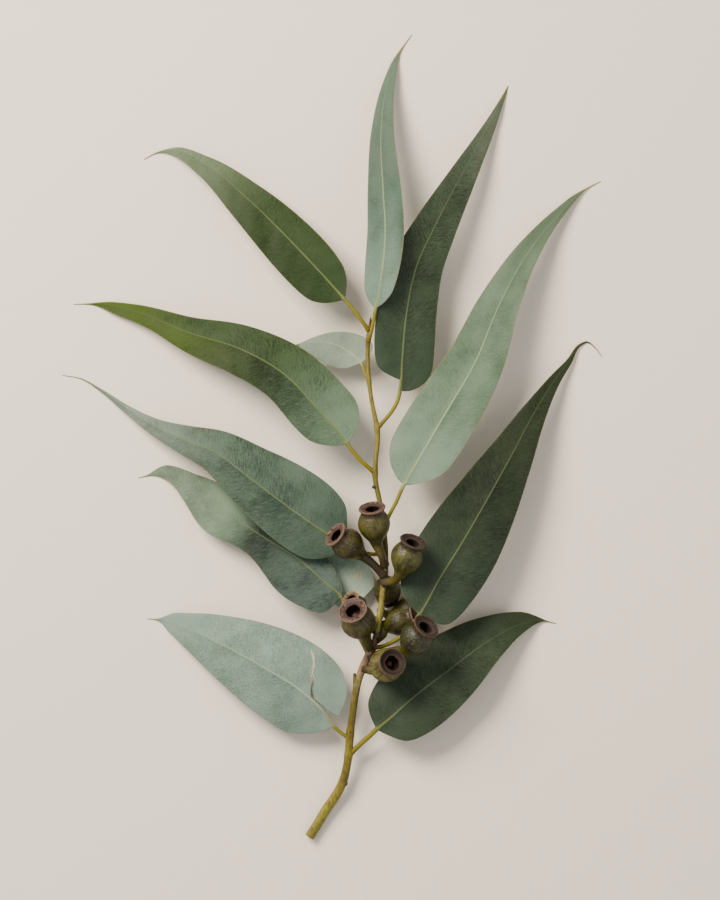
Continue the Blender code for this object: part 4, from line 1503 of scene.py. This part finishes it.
    def build(self) -> bpy.types.Object:
        """Make the nut, dress it and put it in its place.

        Returns:
            The nut.
        """
        nut = make_mesh(self.node + "_urn", [self.skin()])
        nut.data.materials.append(self.finish.material(self.node + "_wall"))
        place_piece(nut, self.node, Slot.GUMNUT)
        return nut


@dataclass(frozen=True)
class SoftLamp:
    """A square lamp that shines on the branch. Places and sides are in metres, power in watts."""

    name: str
    position: tuple[float, float, float]
    side: float
    power: float
    colour: str

    def build(self) -> None:
        """Hang the lamp and point it at the middle of the branch."""
        light = bpy.data.lights.new(self.name, "AREA")
        light.shape = "SQUARE"
        light.size = self.side
        light.energy = self.power
        light.color = to_linear(self.colour)[:3]
        lamp = bpy.data.objects.new(self.name, light)
        lamp.location = self.position
        lamp.rotation_euler = (-lamp.location).to_track_quat("-Z", "Y").to_euler()
        bpy.context.scene.collection.objects.link(lamp)


@dataclass
class Studio:
    """The floor, the lamps, the sky light and the camera, which looks straight down, in metres."""

    floor_side: float = 12.0
    plaster: PaintedPlaster = field(default_factory=PaintedPlaster)
    lamps: tuple[SoftLamp, ...] = (
        SoftLamp(
            name="key_lamp", position=(-0.75, 0.8, 1.05), side=0.72, power=58.0, colour="#fff3e4"
        ),
        SoftLamp(
            name="fill_lamp", position=(1.9, -1.1, 2.2), side=2.4, power=18.0, colour="#f5f4f8"
        ),
    )
    sky: str = "#f3f1ee"
    sky_strength: float = 0.75
    camera_height: float = 3.0
    camera_reach_from: float = 0.05
    view_middle: tuple[float, float] = (0.014, -0.00675)
    view_level: float = 0.015
    view_length: float = 0.45
    film_side: float = 36.0

    def build(self) -> None:
        """Set up the whole studio."""
        self.build_floor()
        for lamp in self.lamps:
            lamp.build()
        self.build_sky()
        self.build_camera()

    def build_floor(self) -> None:
        """Lay a flat square floor at height zero."""
        half = 0.5 * self.floor_side
        mesh = bpy.data.meshes.new("floor")
        corners = [(-half, -half, 0.0), (half, -half, 0.0), (half, half, 0.0), (-half, half, 0.0)]
        mesh.from_pydata(corners, [], [(0, 1, 2, 3)])
        mesh.materials.append(self.plaster.material("painted_plaster"))
        floor = bpy.data.objects.new("floor", mesh)
        bpy.context.scene.collection.objects.link(floor)

    def build_sky(self) -> None:
        """Give the world one soft colour."""
        world = bpy.data.worlds.new("soft_sky")
        world.use_nodes = True
        background = world.node_tree.nodes["Background"]
        background.inputs["Color"].default_value = to_linear(self.sky)
        background.inputs["Strength"].default_value = self.sky_strength
        bpy.context.scene.world = world

    def build_camera(self) -> None:
        """Put the camera above the branch, its long side along Y.

        The lens makes view_length fill the picture's long side at view_level.
        """
        lens = bpy.data.cameras.new("camera")
        lens.sensor_width = self.film_side
        lens.lens = self.film_side * (self.camera_height - self.view_level) / self.view_length
        lens.clip_start = self.camera_reach_from
        camera = bpy.data.objects.new("camera", lens)
        camera.location = (*self.view_middle, self.camera_height)
        bpy.context.scene.collection.objects.link(camera)
        bpy.context.scene.camera = camera


@dataclass
class Branch:
    """The whole branch: its stem, leaves and gum nuts."""

    stem: Stem
    leaves: tuple[Leaf, ...]
    nuts: tuple[GumNut, ...]

    def build(self) -> None:
        """Build every piece in order."""
        self.stem.build()
        for leaf in self.leaves:
            leaf.build()
        for nut in self.nuts:
            nut.build()


STEM = Stem(
    route=Route((
        (-11.3, -201.0, 2.3, 2.5), (-3.0, -187.3, 3.4, 2.45), (4.5, -175.3, 5.2, 2.3),
        (7.6, -164.3, 7.2, 2.1), (9.0, -149.3, 10.0, 1.9), (10.8, -135.8, 12.8, 1.8),
        (13.0, -122.8, 15.8, 1.85), (17.0, -111.8, 18.6, 1.75), (21.0, -103.3, 20.6, 1.65),
        (23.5, -91.8, 21.6, 1.45), (25.3, -76.8, 21.6, 1.4), (26.7, -58.5, 21.4, 1.4),
        (25.2, -39.5, 21.4, 1.3), (21.6, -20.5, 21.4, 1.25), (22.6, 3.3, 21.2, 1.2),
        (20.2, 15.8, 21.0, 1.1), (18.2, 30.8, 20.8, 1.1), (18.0, 46.8, 20.4, 1.05),
        (19.0, 55.3, 20.2, 0.95),
    )),
    swellings=(
        Swelling(-149.5, 0.30, 3.0), Swelling(-159.3, 0.28, 2.6), Swelling(-106.2, 0.5, 3.0),
        Swelling(-114.0, 0.3, 3.5), Swelling(-66.5, 0.5, 5.0), Swelling(-89.5, 0.25, 3.0),
        Swelling(-18.2, 0.32, 2.4), Swelling(4.0, 0.32, 2.6), Swelling(-44.5, 0.2, 2.4),
        Swelling(27.5, 0.2, 2.0), Swelling(48.8, 0.32, 2.6),
    ),
    spurs=(
        Spur(Peg.SCAR, (4.4, -174.6, 5.4), (7.0, -173.8, 6.4), 1.9, 1.25),
        Spur(Peg.STUB, (11.4, -128.0, 14.6), (11.3, -118.9, 17.4), 0.95, 0.8),
        Spur(Peg.BUD, (11.35, -120.4, 16.95), (11.3, -118.6, 17.5), 0.86, 0.72),
        Spur(Peg.BUD, (22.6, -25.2, 21.4), (20.6, -25.2, 22.4), 1.0, 0.95),
        Spur(Peg.BUD, (18.9, 53.5, 20.2), (19.4, 59.4, 21.2), 0.95, 0.42),
    ),
)

LEAVES = (
    Leaf(
        node="leaf_upper_left",
        petiole=((18.6, 52.6, 20.3), (15.0, 57.6, 20.6), (10.5, 63.6, 20.6)),
        midrib=(
            (6.0, 68.8, 20.2), (-16.0, 92.8, 19.0), (-41.0, 117.8, 14.0), (-63.5, 136.5, 6.0),
            (-80.0, 143.8, 1.5), (-87.0, 143.0, 0.6), (-94.5, 139.3, 0.0),
        ),
        left=Half(width=14.4, widest_at=0.22, taper=1.1, point=0.15),
        right=Half(width=11.8, widest_at=0.24, taper=1.5, point=0.15),
        roll=-8.0, fold=0.10, droop=1.5, wave=1.0, waves=1.6, petiole_radius=0.95,
        finish=WaxyLeaf(
            bare="#1c2a10", bloom="#303f22", tip="#68775c", near="#2c3b22", stroke_share=0.4,
            painted_half_shade=0.2, wear=0.3, tip_from=0.45, shine=0.12,
        ),
        slot=Slot.LEAF_OLIVE, seed=11,
    ),
    Leaf(
        node="leaf_top",
        petiole=((18.0, 46.6, 20.4), (19.6, 52.0, 23.4), (20.9, 58.6, 24.8)),
        midrib=(
            (21.8, 64.3, 25.6), (23.5, 73.3, 26.6), (26.5, 100.8, 26.2), (25.5, 123.3, 22.0),
            (24.5, 153.3, 13.0), (28.0, 178.3, 4.5), (32.5, 190.8, 1.0), (40.0, 201.9, 0.0),
        ),
        left=Half(width=8.4, widest_at=0.22, taper=1.4, rounding=0.06, point=0.12),
        right=Half(width=8.9, widest_at=0.30, taper=1.05, rounding=0.07, point=0.16),
        roll=12.0, fold=0.10, droop=0.8, wave=0.8, waves=1.5, petiole_radius=0.9,
        finish=WaxyLeaf(
            bare="#2e4232", bloom="#445c4c", tip="#4c604e", near="#667c6e", stroke_share=0.3,
            rib="#7d8a5c", margin="#7a6430", margin_share=0.8,
        ),
        slot=Slot.LEAF_PALE, seed=12,
    ),
    Leaf(
        node="leaf_upper_right",
        petiole=((22.6, 4.2, 21.2), (27.0, 8.9, 21.2), (30.2, 13.0, 20.8), (32.6, 17.4, 20.2)),
        midrib=(
            (34.0, 22.8, 19.6), (35.0, 38.3, 19.2), (37.5, 63.3, 19.2), (42.5, 85.8, 18.6),
            (50.5, 103.3, 17.0), (64.0, 129.3, 11.5), (79.0, 157.3, 4.0), (88.5, 176.3, 0.0),
        ),
        left=Half(width=14.2, widest_at=0.17, taper=1.35, rounding=0.045, start=0.034),
        right=Half(width=15.0, widest_at=0.13, taper=0.9, rounding=0.08),
        roll=-14.0, fold=0.16, droop=1.5, wave=1.0, waves=1.5, petiole_radius=1.0,
        finish=WaxyLeaf(
            bare="#1b2516", bloom="#36432f", tip="#525b4a", near="#2c3b2b", stroke_share=0.5,
            wear=0.5,
        ),
        slot=Slot.LEAF_DARK, seed=13,
    ),
    Leaf(
        node="leaf_right",
        petiole=((25.9, -45.5, 21.4), (28.6, -39.3, 22.0), (31.6, -33.6, 22.2)),
        midrib=(
            (36.0, -23.8, 22.2), (44.0, -9.8, 22.4), (54.0, 7.3, 22.2), (71.5, 37.3, 20.5),
            (83.5, 65.8, 16.5), (99.0, 93.3, 10.0), (115.0, 112.8, 4.0), (127.5, 124.3, 0.8),
            (135.0, 128.3, 0.0),
        ),
        left=Half(width=16.3, widest_at=0.15, taper=1.2, point=0.10),
        right=Half(width=16.0, widest_at=0.20, taper=1.5, point=0.08),
        roll=9.0, fold=0.12, droop=1.5, wave=1.2, waves=1.5, petiole_radius=1.0,
        finish=WaxyLeaf(
            bare="#40543f", bloom="#596e57", tip="#3e4e38", near="#647967", stroke_share=0.3,
            tip_from=0.4, rib="#8a9a72", margin="#76642e", margin_share=0.8,
        ),
        slot=Slot.LEAF_PALE, seed=14,
    ),
    Leaf(
        node="leaf_left",
        petiole=(
            (21.5, -18.2, 21.4), (17.6, -14.9, 22.0), (14.0, -11.6, 22.4), (10.2, -7.2, 22.6),
        ),
        midrib=(
            (7.5, -3.3, 22.6), (-6.0, 12.3, 23.0), (-23.5, 30.8, 22.0), (-46.0, 43.8, 18.5),
            (-71.0, 51.8, 12.5), (-98.5, 62.8, 4.0), (-116.0, 66.5, 0.8), (-130.0, 66.5, 0.0),
        ),
        left=Half(width=14.0, widest_at=0.22, taper=1.0, ripple=0.8, point=0.14),
        right=Half(width=16.9, widest_at=0.13, taper=1.35, point=0.12),
        roll=-9.0, fold=0.12, droop=2.0, wave=1.4, waves=1.5, petiole_radius=1.0,
        finish=WaxyLeaf(
            bare="#121c0a", bloom="#324227", tip="#3a4c06", near="#607660", stroke_share=0.45,
            painted_half_shade=0.3, wear=0.45, tip_from=0.4, tip_by=0.85, tip_lean=0.1, near_to=0.36, shine=0.1,
        ),
        slot=Slot.LEAF_OLIVE, seed=15,
    ),
    Leaf(
        node="leaf_small_behind",
        petiole=((18.6, 26.5, 20.8), (16.8, 31.0, 18.0), (15.8, 34.0, 15.6)),
        midrib=(
            (14.5, 36.8, 14.0), (10.0, 41.3, 13.0), (-1.0, 46.8, 12.5), (-11.0, 47.3, 11.5),
            (-18.0, 46.0, 10.5),
        ),
        left=Half(width=10.5, widest_at=0.42, taper=0.75),
        right=Half(width=10.2, widest_at=0.12, taper=1.6),
        roll=5.0, fold=0.08, droop=0.6, wave=0.4, waves=1.0, petiole_radius=0.7,
        finish=WaxyLeaf(
            bare="#5a6a5a", bloom="#728070", tip="#8c9888", near="#869280", stroke_share=0.3,
            rib="#8a9a72",
        ),
        slot=Slot.LEAF_PALE, seed=16,
    ),
    Leaf(
        node="leaf_middle_left",
        petiole=((26.7, -58.8, 21.4), (19.0, -58.6, 20.4), (13.0, -57.0, 19.8)),
        midrib=(
            (7.0, -54.3, 19.6), (-3.5, -47.8, 20.4), (-16.0, -39.3, 21.0), (-41.0, -20.8, 20.0),
            (-58.5, -7.8, 17.5), (-73.5, -1.8, 13.5), (-88.5, 4.8, 8.0), (-103.5, 14.3, 3.0),
            (-116.0, 23.3, 0.8), (-126.0, 29.0, 0.2), (-135.5, 30.8, 0.0),
        ),
        left=Half(width=16.8, widest_at=0.15, taper=2.0),
        right=Half(width=20.4, widest_at=0.18, taper=2.6, rounding=0.075),
        roll=4.0, fold=0.08, droop=1.5, wave=1.2, waves=2.0, petiole_radius=1.0,
        finish=WaxyLeaf(
            bare="#1e2e22", bloom="#435645", tip="#748176", near="#3e4f43", stroke_share=0.5,
            painted_half_shade=0.2, wear=0.7, tip_from=0.35,
        ),
        slot=Slot.LEAF_MID, seed=17,
    ),
    Leaf(
        node="leaf_lower_left",
        petiole=((18.1, -109.3, 19.2), (13.0, -99.8, 15.4), (7.4, -90.0, 14.2)),
        midrib=(
            (4.5, -80.3, 14.4), (-3.5, -72.8, 14.6), (-16.0, -61.8, 14.2), (-35.0, -49.8, 12.6),
            (-51.0, -39.3, 9.8), (-71.0, -26.8, 5.0), (-87.5, -18.8, 1.0), (-97.5, -20.8, 0.0),
        ),
        left=Half(
            width=16.4, widest_at=0.20, taper=1.02, rounding=0.09, sweep=32.0, ripple=3.2,
            ripple_at=0.64, point=0.12,
        ),
        right=Half(width=12.0, widest_at=0.42, taper=0.80, point=0.12),
        roll=-6.0, fold=0.04, droop=1.0, wave=0.9, waves=2.0, petiole_radius=0.9,
        # Painted light and shade: its lighter base (near) is painted light on the base lobe, its
        # dark middle is painted shadow of leaf_middle_left, and its paler far part (tip from 0.4 to
        # 0.62) is the blade past that shadow
        finish=WaxyLeaf(
            bare="#0c180e", bloom="#2f4033", tip="#5e725c", near="#4e5e56", stroke_share=0.55,
            wear=0.9, tip_from=0.4, tip_by=0.62,
        ),
        slot=Slot.LEAF_MID, seed=18,
    ),
    Leaf(
        node="leaf_hidden",
        petiole=((23.7, -90.6, 21.6), (21.2, -90.4, 14.0), (17.0, -88.4, 9.4)),
        midrib=(
            (12.5, -84.8, 7.8), (6.5, -74.3, 7.8), (-3.5, -64.3, 6.5), (-16.0, -55.8, 3.0),
            (-27.0, -49.8, 0.0),
        ),
        left=Half(width=10.2, widest_at=0.32, taper=0.8),
        right=Half(width=14.8, widest_at=0.30, taper=0.8),
        roll=-6.0, fold=0.02, droop=0.5, wave=0.3, waves=1.0, petiole_radius=0.8,
        # Its pale base (near) is painted light, which offsets the nuts' shadow that falls there
        finish=WaxyLeaf(
            bare="#6c8070", bloom="#8ea08e", tip="#5c6c5c", near="#a8b8a8", stroke_share=0.3,
            rib="#8a9a72", scar_at=(13.0, -69.5, 7.2),
        ),
        slot=Slot.LEAF_PALE, seed=19,
    ),
    TornLeaf(
        node="leaf_bottom_left",
        petiole=((8.8, -151.4, 9.6), (4.8, -148.6, 10.5)),
        midrib=(
            (0.5, -144.8, 11.4), (-6.0, -135.8, 13.0), (-16.0, -126.8, 14.2),
            (-31.0, -117.3, 14.0), (-51.0, -106.3, 10.5), (-71.0, -96.8, 4.5),
            (-83.5, -92.4, 0.8), (-93.0, -91.6, 0.0),
        ),
        left=Half(width=21.6, widest_at=0.26, taper=1.0, point=0.11),
        right=Half(width=22.4, widest_at=0.28, taper=1.15, rounding=0.18, sweep=2.0, point=0.12),
        roll=4.0, fold=0.04, droop=3.0, wave=0.8, waves=1.5, petiole_radius=0.9,
        finish=WaxyLeaf(
            bare="#4c6052", bloom="#768a7e", tip="#6d8174", near="#6f8276", stroke_share=0.26,
            painted_half_shade=0.15, wear=0.4, rib_green=0.9, rib="#93a27e",
        ),
        slot=Slot.LEAF_PALE, seed=20,
        tear=(
            (9.5, -146.6), (8.0, -141.2), (2.2, -139.6), (-2.0, -137.3), (-6.0, -133.7),
            (-9.1, -131.2), (-10.0, -126.5), (-9.1, -121.7), (-9.95, -118.7), (-9.1, -113.0),
            (-9.3, -109.8), (-10.4, -107.6), (-9.45, -110.0), (-9.3, -113.0), (-10.2, -118.7),
            (-9.5, -121.7), (-10.4, -126.5), (-10.4, -129.9), (-8.3, -132.3), (-5.2, -135.1),
            (-1.9, -140.2), (1.4, -144.9),
        ),
        blade_rings=300, ribs=81,
    ),
    Leaf(
        node="leaf_lower_right",
        petiole=(
            (20.3, -105.6, 20.3), (26.5, -104.2, 23.4), (33.5, -100.4, 26.0), (39.4, -94.6, 26.8),
        ),
        midrib=(
            (43.5, -88.8, 26.9), (54.0, -70.3, 25.8), (64.0, -54.3, 24.4), (74.0, -37.3, 22.5),
            (90.0, -8.8, 17.0), (102.0, 13.3, 10.5), (113.0, 30.3, 5.0), (119.0, 37.8, 2.5),
            (124.5, 46.0, 1.0), (128.0, 47.5, 0.4), (132.0, 44.8, 0.2), (135.4, 40.3, 0.0),
        ),
        left=Half(width=19.4, widest_at=0.20, taper=2.0, rounding=0.06, sweep=12.0),
        right=Half(width=19.8, widest_at=0.18, taper=1.85, rounding=0.05, sweep=18.0),
        roll=-4.0, fold=0.05, droop=2.2, wave=0.9, waves=1.5, petiole_radius=1.05,
        # Its very dark colours are partly the leaf's own dark green and partly painted shade, for a
        # blade that faces away from the light
        finish=WaxyLeaf(
            bare="#0e160a", bloom="#242f1a", tip="#222a12", near="#303e2f", stroke_share=0.6,
            wear=0.45,
        ),
        slot=Slot.LEAF_DARK, seed=21,
    ),
    Leaf(
        node="leaf_bottom_right",
        petiole=(
            (8.3, -159.6, 8.0), (11.6, -156.6, 8.8), (15.0, -153.3, 9.8), (19.0, -149.7, 11.2),
        ),
        midrib=(
            (22.5, -146.3, 12.4), (29.0, -140.8, 14.0), (39.0, -131.8, 15.5),
            (59.0, -116.3, 15.2), (79.0, -101.8, 11.0), (94.0, -94.3, 5.5), (104.0, -92.0, 1.4),
            (112.5, -94.0, 0.0),
        ),
        left=Half(width=18.7, widest_at=0.30, taper=1.15, rounding=0.07, sweep=8.0, point=0.16),
        right=Half(width=18.4, widest_at=0.26, taper=1.4, rounding=0.08, point=0.10),
        roll=7.0, fold=0.06, droop=2.0, wave=0.8, waves=1.5, petiole_radius=1.3,
        # Its darker base (near) and its darker left half are partly painted shadow of the nuts
        # above it
        finish=WaxyLeaf(
            bare="#1a2414", bloom="#313e2a", tip="#242e17", near="#263424", stroke_share=0.5,
            painted_half_shade=0.1, wear=0.5,
        ),
        slot=Slot.LEAF_DARK, seed=22,
    ),
)

NUTS = (
    GumNut(
        node="gumnut_left", belly=(7.5, -53.3, 31.0), heading=142.0, tilt=62.0, size=0.98,
        stalk=((19.8, -63.0, 25.0), (25.8, -69.2, 22.2)),
        finish=WoodyCapsule(
            belly="#352f0e", neck="#33251a", stalk="#2a200e", rim="#4a372d", lip="#664f3c",
        ),
        sunk=0.5, seed=31,
    ),
    GumNut(
        node="gumnut_top", belly=(21.0, -43.3, 32.0), heading=97.5, tilt=65.0, size=1.0,
        stalk=((24.4, -58.2, 26.4), (26.4, -64.2, 22.2)),
        finish=WoodyCapsule(belly="#434012", neck="#3a3018", rim="#3f2f28", lip="#5a463a"),
        sunk=0.3, seed=32,
    ),
    GumNut(
        node="gumnut_right", belly=(37.5, -59.3, 36.2), heading=68.0, tilt=63.0, size=1.0,
        stalk=((30.9, -71.8, 26.6), (25.8, -73.0, 22.2)),
        finish=WoodyCapsule(
            belly="#444414", neck="#2e2813", dust="#3c2e26", rim="#1c120e", lip="#3a2a20",
        ),
        sunk=0.8, seed=33,
    ),
    GumNut(
        node="gumnut_behind", belly=(27.8, -76.9, 10.3), heading=-90.0, tilt=150.0, size=0.86,
        stalk=((26.2, -70.2, 17.8), (26.0, -67.2, 20.5)),
        finish=WoodyCapsule(belly="#34320e", neck="#28220e"),
        sunk=0.5, seed=34,
    ),
    GumNut(
        node="gumnut_floor", belly=(38.9, -87.2, 6.6), heading=15.0, tilt=90.0, size=0.85,
        stalk=((25.4, -88.4, 10.5), (24.4, -87.0, 21.6)),
        finish=WoodyCapsule(belly="#3a3a14"),
        sunk=0.5, seed=35,
    ),
    GumNut(
        node="gumnut_under", belly=(34.2, -92.5, 18.9), heading=18.0, tilt=80.0, size=0.84,
        stalk=((25.6, -98.6, 18.6), (21.6, -101.8, 20.8)),
        finish=WoodyCapsule(belly="#38380f"),
        sunk=0.5, seed=36,
    ),
    GumNut(
        node="gumnut_front_left", belly=(13.0, -91.8, 31.2), heading=115.5, tilt=41.0, size=1.08,
        stalk=((17.0, -101.0, 21.8), (19.8, -106.2, 20.1)),
        finish=WoodyCapsule(belly="#423d12", neck="#382f18", rim="#46352c", lip="#6a5444"),
        sunk=0.3, seed=37,
    ),
    GumNut(
        node="gumnut_front_right", belly=(42.3, -99.8, 36.2), heading=51.0, tilt=54.0, size=1.03,
        stalk=((35.8, -106.4, 26.8), (28.8, -107.4, 21.0), (18.0, -110.2, 19.1)),
        finish=WoodyCapsule(
            belly="#25280e", neck="#242010", dust="#4a3c30", rim="#1c130e", lip="#40301f",
        ),
        sunk=0.9, seed=38,
    ),
    GumNut(
        node="gumnut_bottom", belly=(27.0, -113.8, 31.0), heading=29.4, tilt=23.0, size=1.04,
        stalk=((21.6, -116.6, 20.0), (15.6, -115.6, 17.7)),
        finish=WoodyCapsule(
            belly="#58531f", neck="#54451f", dust="#33281a", rim="#20170d", lip="#4e4026",
        ),
        sunk=1.6, seed=39,
    ),
    GumNut(
        node="gumnut_small", belly=(12.0, -84.3, 18.2), heading=127.0, tilt=50.0, size=0.66,
        stalk=((17.8, -93.4, 15.4), (22.5, -98.0, 21.2)),
        finish=WoodyCapsule(rim="#6e543c", lip="#8a6c4c"),
        sunk=0.3, seed=40,
    ),
)


def main() -> None:
    """Build the branch and its studio."""
    logging.basicConfig(level=logging.INFO, format="%(name)s: %(message)s")
    Branch(STEM, LEAVES, NUTS).build()
    Studio().build()


if __name__ == "__main__":
    main()
